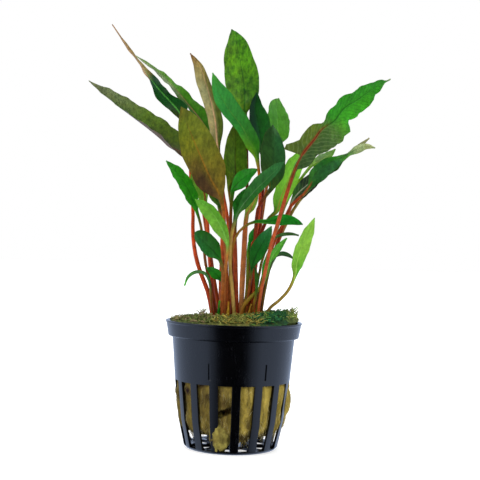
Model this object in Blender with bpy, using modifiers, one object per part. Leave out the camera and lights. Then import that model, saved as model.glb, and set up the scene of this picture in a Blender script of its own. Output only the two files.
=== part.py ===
"""A young cryptocoryne in a small black net pot, packed in mineral wool under a mat of moss.

Sizes are in millimetres here and become metres when a mesh is made. The pot stands on z = 0 with its
axis on z, and the plant is seen from -Y. Leaves are placed by where they show in a 480 x 480 view of
the plant and by their depth, the distance that they stand behind (+) or in front of (-) the pot's axis.
"""
import math

import bpy
import numpy as np
from mathutils import Vector
from mathutils.bvhtree import BVHTree

MM = 0.001
GAP = 0.3

# The pot: a standard net pot for water plants, 55 mm across its rim
RIM_Z = 50.4
RIM_R = 27.2
LIP = 0.7
SOFT = 0.3
COLLAR_R = 26.9
COLLAR_FOOT_R = 26.1
COLLAR_FOOT_Z = 44.3
WALL_TOP_Z = COLLAR_FOOT_Z - 0.4
BODY_R = 24.4
WINDOW_TOP_R = 22.9
WINDOW_TOP_Z = 27.0
WAIST_R = 21.2
WAIST_Z = 12.0
BASE_R = 18.9
CORNER = 2.2
WALL = 0.9
FLOOR = 1.2
RIBS = 16
RIB_WIDTH = 3.3
FIRST_RIB_DEG = 4.5
WINDOW_REACH = (14.0, 30.0)
GROOVE_DEGREES = (-22.0, 33.0, 94.0, 155.0, 216.0, 277.0)
GROOVE = (0.9, 0.45, 6.2)
GROOVE_Z = 32.2
SPOKES = 8
SPOKE_WIDTH = 2.2
HUB_R = 6.5
BASE_RING_R = 15.6
TURN_STEPS = 64
FRONT = -math.pi / 2

# The plug of mineral wool and the moss on top of it
WOOL_TOP_Z = 46.4
WOOL_FOOT_Z = 8.0
WOOL_FOOT_R = 9.5
WOOL_LUMP = 6.0
WOOL_LUMP_DEG = -108.0
WOOL_LUMP_SPREAD = 0.4
WOOL_STEPS = 40
MOSS_STEPS = 48
MOSS_LOW_Z = WOOL_TOP_Z + GAP
MOSS_TOP_Z = 51.5
MOSS_LOW_R = 24.2
MOSS_OVER_R = 26.2
MOSS_HOLE = (15.5, 12.4)
MOSS_HOLE_X = 1.0
MOSS_RIGHT_RISE = 2.6
MOSS_FRONT_RISE = 2.0
ROOT_Z = WOOL_TOP_Z + GAP

# The view that leaf places are given in: its eye, its focal length in pixels and its tilt
VIEW_SIZE = 480
VIEW_EYE = Vector((1.45, -420.0, 79.6))
VIEW_FOCAL = 1049.0
VIEW_PITCH = math.radians(0.44)
VIEW_ROLL = math.radians(1.68)

# A leaf's section counts (stalk, blade), its stalk's radius and its blade's half thickness
LONG_LEAF = (7, 10)
SHORT_LEAF = (5, 6)
LONG_LEAF_STATIONS = 7
STALK_R = 0.58
SLIM_STALK = 0.75
BLADE_HALF = 0.25
TIP_HALF = 0.14
RING = 8

# Depths fan out by this share from a row upward, and leaves that touch are eased apart in small steps
FAN = 0.5
FAN_ROW = 310.0
FAN_ROWS = 200.0
CLEARANCE = 0.2
EASE_STEP = 0.12
EASE_SPREAD = 1.6
EASE_ROUNDS = 260

# Each leaf: its kind, root (x, y in mm), stalk stations (column, row, depth), blade stations
# (column, row, depth, width in mm as the view shows it, turn in degrees) from base to tip, and its
# fold in degrees. Turn is 0 where the blade faces the view and grows as its face turns up or right.
LEAVES = {
    "leaf_left_long": (
        "olive", (-7.6, 1.5),
        [(207, 289, 2), (201, 274, 2.5), (196, 257, 3), (193, 235, 3.5), (193, 211, 4), (191, 185, 4.5)],
        [(188, 160, 5, 1.3, 48), (179, 148.5, 6, 5.6, 50), (165.5, 134.5, 8, 6.7, 50),
         (151.5, 124, 10, 6.3, 50), (136, 113.5, 12, 5.7, 50), (120, 102.5, 13, 4.9, 50),
         (104, 91, 14, 3.4, 50), (88.5, 80.4, 15, 0.4, 50)],
        35),
    "leaf_far_left": (
        "dark", (-4.5, 6),
        [(214, 280, 8), (208, 240, 9.5), (200, 190, 11), (191, 143, 12)],
        [(184, 122, 13, 1.5, 10), (176, 107, 14, 6.6, 20), (164, 94, 15, 6.2, 25),
         (155, 84, 16, 3.4, 40), (143, 67, 18, 1.6, 50), (127, 46, 20, 1.1, 50), (112, 24, 22, 0.3, 50)],
        16),
    "leaf_wavy_back": (
        "green", (-2.6, 8),
        [(222, 280, 11), (222, 230, 14), (219.5, 180, 17)],
        [(217.5, 146, 19, 1.5, 0), (211, 131, 20, 4.4, 15), (203, 118.5, 21, 4.8, 25),
         (193, 106.5, 22, 5, 30), (182, 94, 23, 4.2, 35), (170, 82, 24, 2.8, 40),
         (154, 68.5, 25, 1.9, 45), (135.5, 55.5, 26, 0.3, 45)],
        16),
    "leaf_big_bronze": (
        "bronze", (-2.5, -5.5),
        [(227, 295, -8), (226, 260, -11), (224.5, 230, -13), (223.5, 212, -14)],
        [(221, 199, -15, 2, 12), (216.5, 189, -16, 7.6, 20), (211.5, 179.5, -17, 11.4, 25),
         (203, 160, -19, 12.5, 30), (194, 139, -21, 11.8, 32), (187, 122, -23, 7.8, 32),
         (181, 106.6, -25, 0.6, 32)],
        10),
    "leaf_grey_pink": (
        "grey", (-0.8, 3.6),
        [(232, 290, 4), (231, 260, 5), (230, 240, 5.5), (226.4, 211, 6), (223.4, 195, 6.5),
         (220, 165, 7)],
        [(218, 148, 7.5, 1.8, -15), (216, 130, 8.5, 6, -30), (210.5, 106, 9, 7.3, -34),
         (203.5, 84, 9.5, 6.2, -34), (197.8, 66, 10, 3.6, -34), (190, 53, 10.5, 0.5, -34)],
        14),
    "leaf_bright_crossing": (
        "bright", (4.6, -3.4),
        [(248, 281, -5), (249, 266, -5.5), (251, 251, -6), (257, 228, -7), (260, 193, -8),
         (259, 172, -8.5)],
        [(257, 158, -9, 1.8, 12), (252, 143, -9.5, 6, 28), (243, 126, -10, 6, 34),
         (229.5, 108, -11, 7.5, 36), (218.5, 90, -12, 5.4, 36), (212.5, 72.5, -13, 0.5, 36)],
        10),
    "leaf_top_mottled": (
        "mottled", (2.2, 0.5),
        [(242, 300, 0), (245, 250, 0), (247, 200, 0), (247, 160, 0), (246.5, 138, 0)],
        [(244.8, 113, 0, 1.8, 0), (244.5, 100, 0.5, 10, -20), (242.5, 82, 1, 13.2, -30),
         (239, 62, 1.5, 12.3, -32), (235.5, 44, 2, 8.5, -32), (231.5, 29, 3, 0.6, -32)],
        8),
    "leaf_dark_upper": (
        "dark", (3.6, 3.4),
        [(252, 290, 2), (258, 240, 1), (262, 200, 0), (264, 175, -1)],
        [(263, 157, -2, 1.5, 20), (262, 140, -2.5, 7, 36), (259, 122, -3, 7.9, 40),
         (256, 107, -3.5, 5.5, 40), (257, 92, -4, 0.5, 40)],
        14),
    "leaf_dark_centre": (
        "bluish", (6, -5.4),
        [(253, 300, -8), (255, 260, -10), (256, 225, -12), (259, 206, -12.5), (265, 197, -13)],
        [(271, 189, -14, 1.8, -10), (273, 176, -15, 7.8, -25), (273.5, 160, -16, 9.6, -32),
         (273.5, 145, -17, 8.4, -32), (273, 134, -18, 5.5, -32), (273, 125, -19, 0.6, -32)],
        12),
    "leaf_back_right": (
        "bright", (5, 6.8),
        [(252, 280, 9), (260, 230, 11), (268, 180, 13)],
        [(275, 148, 14, 1.5, 20), (278.5, 132, 15, 8.3, 38), (278, 116, 16, 8.5, 40),
         (277.5, 106, 17, 6.6, 40), (279, 98, 18, 0.6, 40)],
        10),
    "leaf_olive_middle": (
        "olive", (-1.4, -0.6),
        [(230, 290, -2), (230, 250, -2.5), (230.5, 216, -3), (231, 204, -3)],
        [(229.5, 188, -3.5, 1.8, 5), (234.5, 177, -3.5, 8.2, 22), (235, 160, -3.5, 9.3, 28),
         (235.5, 145, -3, 8.1, 28), (236, 132, -3, 5.2, 28), (236.5, 121, -3, 0.6, 28)],
        12),
    "leaf_green_middle": (
        "green", (-0.6, -3.8),
        [(232, 280, -4.5), (231, 240, -5), (231, 207, -5)],
        [(232.5, 191, -5.5, 1.4, -20), (239, 181.5, -6, 5, -34), (248, 174.5, -6.5, 4.7, -36),
         (258, 169, -7, 0.5, -36)],
        14),
    "leaf_green_lower": (
        "green", (1.2, -5),
        [(236, 290, -6), (235, 250, -6.5), (234.5, 230, -6.5)],
        [(235.5, 216, -7, 1.4, 10), (239, 202.5, -7.5, 4.6, 24), (243.5, 195, -8, 3.6, 26),
         (249, 187, -8.5, 0.5, 26)],
        14),
    "leaf_dark_front": (
        "bluish", (0.6, -7.8),
        [(232, 286, -10), (230, 266, -12), (230, 251, -13.5), (232, 232, -15)],
        [(236, 218, -16, 1.6, -10), (243, 204, -18, 4.5, -25), (254, 190, -20, 5.2, -34),
         (266, 178, -22, 4.8, -34), (276, 169, -24, 3.5, -34), (284, 162, -26, 0.5, -34)],
        16),
    "leaf_light_front": (
        "light", (7.5, -3),
        [(254, 290, -6), (257, 255, -9), (262, 231, -11), (268, 219, -12.5)],
        [(275, 213, -13, 1.6, 20), (280, 199, -13.5, 5.7, 32), (286, 184, -14, 7.2, 35),
         (292, 170, -14.5, 7, 35), (298, 158, -15, 5.2, 35), (301, 150.5, -16, 2, 35)],
        10),
    "leaf_right_large": (
        "green", (9, -7),
        [(261, 291, -12), (266, 268, -15), (271, 245, -18), (277, 226, -20), (284.5, 201, -22),
         (290.5, 182, -23)],
        [(293.5, 173.5, -23.5, 2.2, 0), (298.5, 161, -24, 8.6, 10), (306.5, 149, -24, 9.6, 16),
         (319.5, 137, -24, 10.3, 22), (334, 124.5, -23, 10.4, 28), (346, 110, -22, 8.6, 30),
         (361, 98, -21, 7.2, 30), (375, 87.5, -20, 5, 30), (391, 79, -18, 0.5, 30)],
        10),
    "leaf_right_dark": (
        "grey_green", (8, -1),
        [(265, 286, -3), (268, 270, -4), (279, 239, -5), (283, 226, -5.5), (291.6, 205, -6),
         (304, 194, -6)],
        [(309.5, 187, -6, 2, -20), (317.5, 175.5, -5.5, 6.4, -26), (328, 166, -5, 6, -26),
         (339, 159.5, -4, 3.5, -20), (347.5, 155, -3, 1.5, 10), (357, 149.5, -2, 3.1, 20),
         (366, 146.5, -1, 2.5, 20), (375.5, 148, 0, 0.4, 20)],
        18),
    "leaf_right_forked": (
        "grey_green", (9.6, 2.6),
        [(266, 280, 3), (281, 235, 3), (300, 200, 2), (322, 178, 1)],
        [(338, 165, 1, 1, 20), (348, 155, 1, 1.5, 20), (359, 146.5, 2, 1.9, 20),
         (369.5, 138, 3, 0.4, 20)],
        10),
    "leaf_small_pale": (
        "light", (6.8, 4.6),
        [(262, 280, 5), (275, 235, 5), (290, 195, 5), (303, 176, 5)],
        [(311, 166, 5, 1.4, -10), (319, 160.5, 5.5, 3.6, -20), (328, 155.5, 6.5, 3.2, -20),
         (335.5, 149, 8, 0.5, -20)],
        20),
    "leaf_dark_behind": (
        "grey_green", (7.2, 1.6),
        [(262, 285, 1), (271, 250, 1), (281, 228, 1), (288.6, 214, 1)],
        [(292.5, 201, 1, 1.6, -10), (300, 192.5, 0.5, 5.6, -22), (311, 182, 0, 5.8, -25),
         (324, 172, -1, 4.6, -25), (335.5, 165.5, -2, 3.8, -25), (344, 159.5, -3, 0.5, -25)],
        14),
    "leaf_left_bright": (
        "bright", (-6, -2.5),
        [(210, 283, -4), (206, 266, -5), (203, 240, -6), (200, 222, -7)],
        [(197, 212, -8, 1.3, 20), (192, 198, -8.5, 4.7, 34), (185, 184, -9, 5.3, 38),
         (177, 172.5, -9.5, 4.4, 38), (166, 160.5, -10, 0.5, 38)],
        14),
    "leaf_left_light": (
        "light", (-3.6, -8),
        [(224, 297, -10), (225, 271, -13), (227, 256, -15)],
        [(227.5, 245, -16, 1.4, -10), (221.5, 230, -18, 5, -22), (212, 214.5, -20, 5.4, -26),
         (203, 205, -22, 4, -26), (195, 199, -23, 0.5, -26)],
        14),
    "leaf_left_oval": (
        "dark", (-4.8, -6),
        [(222, 300, -9), (223, 280, -12), (222.5, 268, -14)],
        [(220, 260, -15, 1.4, 12), (213, 250, -16, 6.6, 28), (204, 241, -17.5, 6.7, 33),
         (197.5, 235.5, -19, 4.2, 33), (194.5, 232.5, -20, 1, 33)],
        12),
    "leaf_left_small": (
        "dark", (-5.2, -4.2),
        [(221, 300, -7), (223, 290, -9)],
        [(222, 281, -10, 1.2, -12), (217, 275, -11, 4, -25), (211.5, 270, -12, 3, -28),
         (206.6, 267.5, -13, 0.5, -28)],
        12),
    "leaf_left_strap": (
        "green", (-7.8, -3.5),
        [(211, 300, -5), (210.5, 290, -6)],
        [(209.5, 282, -6, 1, 0), (205, 273.5, -6.5, 1.3, 0), (196, 272, -7, 1.4, 0),
         (188.5, 276.5, -7.5, 1.2, 0), (184.4, 286, -8, 0.4, 0)],
        0),
    "leaf_right_strap": (
        "light", (11, -4.5),
        [(270, 308, -6.5), (279, 300.5, -7.5), (288.5, 290, -8.5)],
        [(294.4, 277, -9, 1.4, 20), (297.3, 263, -9.5, 4.6, 34), (302, 248, -10, 5.4, 38),
         (308, 233, -10.5, 4.3, 38), (314.7, 217.7, -11, 0.5, 38)],
        12),
    "leaf_level_dark": (
        "dark", (-2, -3.8),
        [(229, 290, -7), (231, 262, -9.5), (233, 245, -11), (238, 233, -12), (246, 225.5, -13)],
        [(256, 221.5, -14, 1.3, 10), (267, 221.5, -14.5, 2, 30), (277, 220, -15, 3.7, 38),
         (288, 219.5, -15.5, 4, 38), (297, 222, -16, 2.4, 38), (303, 224.6, -16.5, 0.4, 38)],
        12),
    "leaf_right_small": (
        "bright", (3.2, -8.6),
        [(243.6, 305.5, -9.8), (251, 297, -10.2), (259.6, 288.6, -10.6), (266, 275, -10.8)],
        [(269.6, 262, -11, 1.2, 10), (275, 252.5, -11.2, 2.8, 22), (281, 244.5, -11.4, 2.2, 24),
         (287, 238, -11.5, 0.5, 24)],
        12),
    "leaf_thin_upper": (
        "green", (5.5, -1),
        [(258, 280, -4), (266, 250, -6)],
        [(275, 237.5, -7, 1, 0), (284, 234.3, -7.5, 1.4, 0), (292, 234, -8, 1.2, 0),
         (299, 235.5, -8, 0.4, 0)],
        0),
    "leaf_thin_lower": (
        "green", (9.8, -2.4),
        [(266, 285, -5), (271, 265, -6)],
        [(275.5, 256.5, -6.5, 1, 0), (282, 253.6, -7, 1.8, 0), (288, 255, -7.5, 1.6, 0),
         (294, 259, -8, 0.4, 0)],
        0),
    "leaf_front_oval": (
        "dark", (4.2, -6.8),
        [(248, 300, -9), (250, 282, -11)],
        [(251.7, 269, -12, 1.2, -10), (256.5, 254, -13, 5.6, -24), (263, 242, -14, 5.6, -28),
         (268, 234, -15, 3.6, -28), (271.6, 226, -16, 0.5, -28)],
        12),
    "leaf_middle_small": (
        "bright", (2.9, -5.2),
        [(247, 290, -7), (248, 262, -8.5)],
        [(249.5, 243, -9, 1, 10), (252.5, 235, -9.3, 2.8, 20), (255.5, 227, -9.6, 0.5, 20)],
        10),
    "leaf_narrow_bright": (
        "bright", (7.2, -6.6),
        [(259, 300, -8.5), (261, 288, -9.5)],
        [(262.5, 277, -10, 1, 0), (265, 265, -10.5, 1.9, 10), (267.6, 253, -11, 0.4, 10)],
        0),
    "leaf_dark_spear": (
        "dark", (5.6, -8.2),
        [(254, 304, -9.5), (255.5, 297, -10)],
        [(256.5, 289, -11, 1, 0), (257, 279, -12, 1.8, 0), (255, 267, -13, 0.4, 0)],
        0),
    "leaf_yellow_middle": (
        "light", (2, -2.4),
        [(241.5, 300, -2.8), (242, 281, -3), (243.6, 256, -3.5), (245.6, 224, -4)],
        [(247, 214, -4.3, 1.8, 8), (250, 207, -4.5, 3.8, 16), (254, 200, -4.7, 3, 18),
         (258, 191, -5, 0.5, 18)],
        8),
    "leaf_light_inner": (
        "light", (-5.8, 0.8),
        [(212, 290, -0.5), (210, 262, -2), (208, 235, -3), (207, 218, -4)],
        [(205, 204, -4.5, 1.8, 10), (201.5, 192, -5, 5.4, 24), (197, 181, -5.2, 5.6, 24),
         (192, 168, -5.5, 0.5, 24)],
        8),
    "leaf_olive_inner": (
        "olive", (-3.6, -1.6),
        [(221, 290, -3.5), (222.5, 250, -5.5), (222, 218, -7)],
        [(219.5, 206, -7.5, 1.4, -10), (216.5, 199, -8, 3.8, -20), (212, 191, -8.5, 3.4, -20),
         (207, 180, -9, 0.5, -20)],
        8),
    "sprout_left": (
        "bright", (-6, -7.4), [(218.6, 311, -8.4)],
        [(218.8, 309, -8.6, 0.8, 0), (219, 305, -8.9, 1.4, 0), (219.6, 300.5, -9.2, 0.4, 0)], 0),
    "sprout_middle": (
        "straw", (-2, -9.2), [(228, 312, -9.8)],
        [(228.2, 310, -10, 0.8, 0), (228.4, 306, -10.2, 1.2, 0), (228.6, 301.5, -10.4, 0.4, 0)], 0),
    "sprout_right": (
        "straw", (5.6, -9.8), [(249, 313, -10.4)],
        [(249.4, 311.5, -10.6, 0.8, 0), (250, 308, -10.9, 1.2, 0), (251.4, 304, -11.2, 0.4, 0)], 0),
}

# Surface colour and roughness of each kind of piece
COLOURS = {
    "pot": ((0.012, 0.014, 0.02), 0.32),
    "wool": ((0.3, 0.24, 0.06), 0.95),
    "moss": ((0.14, 0.17, 0.03), 0.95),
    "olive": ((0.1, 0.16, 0.03), 0.5),
    "dark": ((0.01, 0.09, 0.012), 0.42),
    "green": ((0.03, 0.2, 0.02), 0.42),
    "bronze": ((0.15, 0.17, 0.02), 0.45),
    "grey": ((0.2, 0.17, 0.1), 0.55),
    "bright": ((0.06, 0.32, 0.03), 0.4),
    "mottled": ((0.08, 0.24, 0.03), 0.42),
    "bluish": ((0.015, 0.09, 0.03), 0.42),
    "light": ((0.16, 0.46, 0.04), 0.42),
    "grey_green": ((0.08, 0.17, 0.07), 0.55),
    "straw": ((0.45, 0.3, 0.06), 0.6),
}


def clear_scene():
    for thing in list(bpy.data.objects):
        bpy.data.objects.remove(thing, do_unlink=True)


def new_collection(name):
    collection = bpy.data.collections.new(name)
    bpy.context.scene.collection.children.link(collection)
    return collection


def surface(kind):
    """The Principled material of one kind of piece."""
    name = kind + "_surface"
    if name in bpy.data.materials:
        return bpy.data.materials[name]
    colour, roughness = COLOURS[kind]
    material = bpy.data.materials.new(name)
    material.use_nodes = True
    shader = material.node_tree.nodes["Principled BSDF"]
    shader.inputs["Base Color"].default_value = (*colour, 1.0)
    shader.inputs["Roughness"].default_value = roughness
    shader.inputs["Metallic"].default_value = 0.0
    return material


def add_mesh(name, points, faces, collection, kind=None):
    """One object from points in millimetres and the faces between them."""
    mesh = bpy.data.meshes.new(name)
    mesh.from_pydata([Vector(point) * MM for point in points], [], faces)
    mesh.update()
    piece = bpy.data.objects.new(name, mesh)
    collection.objects.link(piece)
    if kind:
        mesh.materials.append(surface(kind))
        mesh.shade_smooth()
        mesh.set_sharp_from_angle(angle=math.radians(40))
    return piece


def hide_cutter(cutter):
    cutter.hide_render = True
    cutter.display_type = "WIRE"


def cut(piece, cutter):
    boolean = piece.modifiers.new(cutter.name, "BOOLEAN")
    boolean.operation = "DIFFERENCE"
    boolean.solver = "EXACT"
    boolean.object = cutter


def prism(outline, low, high, angle):
    """A closed upright prism over an outline (x, y), turned about the pot's axis."""
    turned = [(x * math.cos(angle) - y * math.sin(angle), x * math.sin(angle) + y * math.cos(angle))
              for x, y in outline]
    count = len(turned)
    points = [(x, y, low) for x, y in turned] + [(x, y, high) for x, y in turned]
    faces = [tuple(range(count - 1, -1, -1)), tuple(range(count, 2 * count))]
    faces += [(i, (i + 1) % count, count + (i + 1) % count, count + i) for i in range(count)]
    return points, faces


def join_prisms(name, prisms, collection):
    """Several separate prisms as one cutter."""
    points = []
    faces = []
    for more_points, more_faces in prisms:
        start = len(points)
        points += more_points
        faces += [tuple(start + i for i in face) for face in more_faces]
    cutter = add_mesh(name, points, faces, collection)
    hide_cutter(cutter)
    return cutter


def pot_outer():
    """The pot's outer profile (radius, height) from the lip down to the flat underside."""
    corner = [(BASE_R - CORNER * (1 - math.cos(a)), CORNER * (1 - math.sin(a)))
              for a in (0, math.radians(30), math.radians(60))]
    return [(RIM_R, RIM_Z), (RIM_R, RIM_Z - LIP), (COLLAR_R, RIM_Z - LIP - SOFT),
            (COLLAR_FOOT_R, COLLAR_FOOT_Z + SOFT), (COLLAR_FOOT_R - SOFT, COLLAR_FOOT_Z),
            (BODY_R, COLLAR_FOOT_Z - SOFT), (WINDOW_TOP_R, WINDOW_TOP_Z), (WAIST_R, WAIST_Z),
            *corner, (BASE_R - CORNER, 0.0)]


def pot_inner():
    """The pot's inner profile (radius, height) from its floor up to the rim."""
    return [(BASE_R - CORNER - 0.1, FLOOR), (BASE_R - WALL, CORNER + 0.6), (WAIST_R - WALL, WAIST_Z),
            (WINDOW_TOP_R - WALL, WINDOW_TOP_Z), (BODY_R - WALL, WALL_TOP_Z),
            (COLLAR_FOOT_R - WALL, COLLAR_FOOT_Z + LIP), (RIM_R - LIP - WALL, RIM_Z)]


def inner_radius(z):
    """The pot's inner radius at a height."""
    radii, heights = zip(*pot_inner())
    return float(np.interp(z, heights, radii))


def make_pot(parts, cutters):
    """The turned pot, with windows between its ribs, spokes in its floor and grooves in its wall."""
    profile = [(0.0, FLOOR)] + pot_inner() + pot_outer() + [(0.0, 0.0)]
    edges = [(i, i + 1) for i in range(len(profile) - 1)]
    mesh = bpy.data.meshes.new("pot")
    mesh.from_pydata([Vector((radius, 0.0, z)) * MM for radius, z in profile], edges, [])
    pot = bpy.data.objects.new("pot", mesh)
    parts.objects.link(pot)
    mesh.materials.append(surface("pot"))
    screw = pot.modifiers.new("turn", "SCREW")
    screw.steps = TURN_STEPS
    screw.render_steps = TURN_STEPS
    screw.use_merge_vertices = True
    screw.merge_threshold = 0.00001
    screw.use_smooth_shade = True

    half_pitch = math.pi / RIBS
    slope = math.tan(half_pitch)
    apex = RIB_WIDTH / 2 / math.sin(half_pitch)
    near, far = WINDOW_REACH
    window = [(near, -(near - apex) * slope), (far, -(far - apex) * slope),
              (far, (far - apex) * slope), (near, (near - apex) * slope)]
    first_rib = FRONT + math.radians(FIRST_RIB_DEG)
    windows = [prism(window, FLOOR + 0.15, WINDOW_TOP_Z, first_rib + half_pitch * (2 * k + 1))
               for k in range(RIBS)]
    cut(pot, join_prisms("windows", windows, cutters))

    half_gap = math.pi / SPOKES
    hole = []
    for radius, shares in ((HUB_R, (1, 0.5, 0, -0.5, -1)), (BASE_RING_R, (-1, -0.5, 0, 0.5, 1))):
        reach = half_gap - math.asin(SPOKE_WIDTH / 2 / radius)
        hole += [(radius * math.cos(reach * share), radius * math.sin(reach * share)) for share in shares]
    holes = [prism(hole, -FLOOR, 2 * FLOOR, first_rib + half_gap * (2 * k + 1)) for k in range(SPOKES)]
    cut(pot, join_prisms("floor_holes", holes, cutters))

    width, depth, height = GROOVE
    wall_r = float(np.interp(GROOVE_Z, [WINDOW_TOP_Z, COLLAR_FOOT_Z], [WINDOW_TOP_R, BODY_R]))
    groove_r = wall_r - depth
    slot = [(groove_r, -width / 2), (RIM_R, -width / 2), (RIM_R, width / 2), (groove_r, width / 2)]
    grooves = [prism(slot, GROOVE_Z - height / 2, GROOVE_Z + height / 2, FRONT + math.radians(degrees))
               for degrees in GROOVE_DEGREES]
    cut(pot, join_prisms("grooves", grooves, cutters))


def ripple(angle, waves):
    """A sum of sines round the pot from the (height, count, phase) of each."""
    return sum(size * math.sin(count * angle + phase) for size, count, phase in waves)


def ring_solid(name, rings, collection, kind, closed=False):
    """A solid from rings of points: capped at both ends, or closed on itself like a tyre."""
    count = len(rings[0])
    points = [point for ring in rings for point in ring]
    pairs = [(k, k + 1) for k in range(len(rings) - 1)]
    faces = []
    if closed:
        pairs.append((len(rings) - 1, 0))
    for low, high in pairs:
        low, high = low * count, high * count
        faces += [(low + i, low + (i + 1) % count, high + (i + 1) % count, high + i) for i in range(count)]
    if not closed:
        faces.append(tuple(range(count - 1, -1, -1)))
        faces.append(tuple(range((len(rings) - 1) * count, len(rings) * count)))
    return add_mesh(name, points, faces, collection, kind)


def make_wool(parts):
    """The plug of mineral wool: full width between the walls, ragged and drawn in at its foot."""
    foot_waves = [(1.0, 3, 0.4), (0.8, 5, 1.9), (0.5, 9, 0.0)]
    hem_waves = [(1.2, 4, 0.9), (0.9, 7, 0.0)]
    rings = []
    for z, share in ((FLOOR + GAP, None), (WOOL_FOOT_Z, 0.9), (WAIST_Z, 1.0), (WINDOW_TOP_Z, 1.0),
                     (WALL_TOP_Z, 1.0), (WOOL_TOP_Z, 1.0)):
        ring = []
        for i in range(WOOL_STEPS):
            angle = 2 * math.pi * i / WOOL_STEPS
            height = z
            if share is None:
                off = math.remainder(angle - math.radians(WOOL_LUMP_DEG), 2 * math.pi)
                radius = WOOL_FOOT_R + WOOL_LUMP * math.exp(-(off / WOOL_LUMP_SPREAD) ** 2)
                radius += ripple(angle, foot_waves)
            else:
                radius = (inner_radius(z) - GAP) * share - 0.25 - 0.25 * math.sin(7 * angle + z)
            if z == WOOL_FOOT_Z:
                height += ripple(angle, hem_waves)
            ring.append((radius * math.cos(angle), radius * math.sin(angle), height))
        rings.append(ring)
    ring_solid("rockwool", rings, parts, "wool")


def make_moss(parts):
    """The mat of moss round the stalks: open in the middle, lumpy on top, level with the rim outside."""
    crown_waves = [(0.25, 3, 0.7), (0.25, 5, 2.2), (0.2, 8, 1.0)]
    hole_waves = [(0.5, 4, 0.2), (0.4, 7, 1.0)]
    edge_waves = [(0.3, 5, 0.3), (0.3, 9, 1.3)]
    sections = (("hole", MOSS_LOW_Z, 0.0, 0.0), (MOSS_LOW_R, MOSS_LOW_Z, 0.0, 0.0),
                (MOSS_LOW_R + 0.7, RIM_Z + 0.4, 0.0, 0.0), (MOSS_OVER_R, RIM_Z + 0.6, 0.0, 0.0),
                (MOSS_OVER_R - 0.5, MOSS_TOP_Z - 0.3, 0.5, 0.0), (20.0, MOSS_TOP_Z, 1.0, 0.5),
                ("hole", MOSS_TOP_Z - 0.4, 0.8, 1.0))
    rings = []
    for edge, z, crown, inner in sections:
        ring = []
        for i in range(MOSS_STEPS):
            angle = 2 * math.pi * i / MOSS_STEPS
            if edge == "hole":
                x = MOSS_HOLE_X + (MOSS_HOLE[0] + ripple(angle, hole_waves)) * math.cos(angle)
                y = (MOSS_HOLE[1] + ripple(angle, hole_waves)) * math.sin(angle)
            else:
                radius = edge + crown * ripple(angle, edge_waves)
                x = radius * math.cos(angle)
                y = radius * math.sin(angle)
            right = MOSS_RIGHT_RISE * (0.5 + 0.5 * math.cos(angle)) ** 3
            front = MOSS_FRONT_RISE * (0.5 - 0.5 * math.sin(angle)) ** 2
            ring.append((x, y, z + crown * (ripple(angle, crown_waves) + right) + inner * front))
        rings.append(ring)
    ring_solid("moss", rings, parts, "moss", closed=True)


def seen_at(column, row, depth):
    """The place in millimetres at a depth that the view shows at a column and row."""
    right = column - VIEW_SIZE / 2
    up = VIEW_SIZE / 2 - row
    level = right * math.cos(VIEW_ROLL) - up * math.sin(VIEW_ROLL)
    rise = right * math.sin(VIEW_ROLL) + up * math.cos(VIEW_ROLL)
    ahead = VIEW_FOCAL * math.cos(VIEW_PITCH) - rise * math.sin(VIEW_PITCH)
    above = VIEW_FOCAL * math.sin(VIEW_PITCH) + rise * math.cos(VIEW_PITCH)
    stretch = (depth - VIEW_EYE.y) / ahead
    return (VIEW_EYE.x + level * stretch, depth, VIEW_EYE.z + above * stretch)


def placed(column, row, depth):
    """A leaf station's place, with its depth fanned out the higher it stands."""
    return seen_at(column, row, depth * (1 + FAN * min(max((FAN_ROW - row) / FAN_ROWS, 0.0), 1.0)))


def smooth_through(points, at):
    """Values at distances along the smooth curve through rows of points (x, y, z, more...)."""
    reach = np.concatenate([[0.0], np.cumsum(np.linalg.norm(np.diff(points[:, :3], axis=0), axis=1))])
    slope = np.gradient(points, reach, axis=0)
    i = np.clip(np.searchsorted(reach, at, side="right") - 1, 0, len(reach) - 2)
    span = (reach[i + 1] - reach[i])[:, None]
    t = (at - reach[i])[:, None] / span
    return ((2 * t ** 3 - 3 * t ** 2 + 1) * points[i] + (t ** 3 - 2 * t ** 2 + t) * span * slope[i]
            + (3 * t ** 2 - 2 * t ** 3) * points[i + 1] + (t ** 3 - t ** 2) * span * slope[i + 1])


def leaf_sections(leaf):
    """Sections of one leaf from root to tip: rows of x, y, z, width, turn and how far along the blade."""
    root, stalk, blade = leaf[1:4]
    turn = blade[0][4]
    stalk_width = 2 * STALK_R * (SLIM_STALK if len(stalk) < 3 else 1.0)
    rows = [(root[0], root[1], ROOT_Z, stalk_width, turn)]
    rows += [(*placed(*station), stalk_width, turn) for station in stalk]
    base = len(rows)
    rows += [(*placed(*station[:3]), station[3], station[4]) for station in blade]
    points = np.array(rows, float)
    reach = np.concatenate([[0.0], np.cumsum(np.linalg.norm(np.diff(points[:, :3], axis=0), axis=1))])
    stalk_count, blade_count = LONG_LEAF if len(stalk) + len(blade) > LONG_LEAF_STATIONS else SHORT_LEAF
    at = np.concatenate([np.linspace(0.0, reach[base], stalk_count + 1)[:-1],
                         np.linspace(reach[base], reach[-1], blade_count)])
    sections = smooth_through(points, at)
    along = np.clip((at - reach[base]) / (reach[-1] - reach[base]), 0.0, 1.0)
    sections[:, 3] = np.maximum(sections[:, 3] / np.cos(np.radians(sections[:, 4])), 2 * TIP_HALF)
    sections[:stalk_count, 3] = stalk_width
    return np.column_stack([sections, along])


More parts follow.
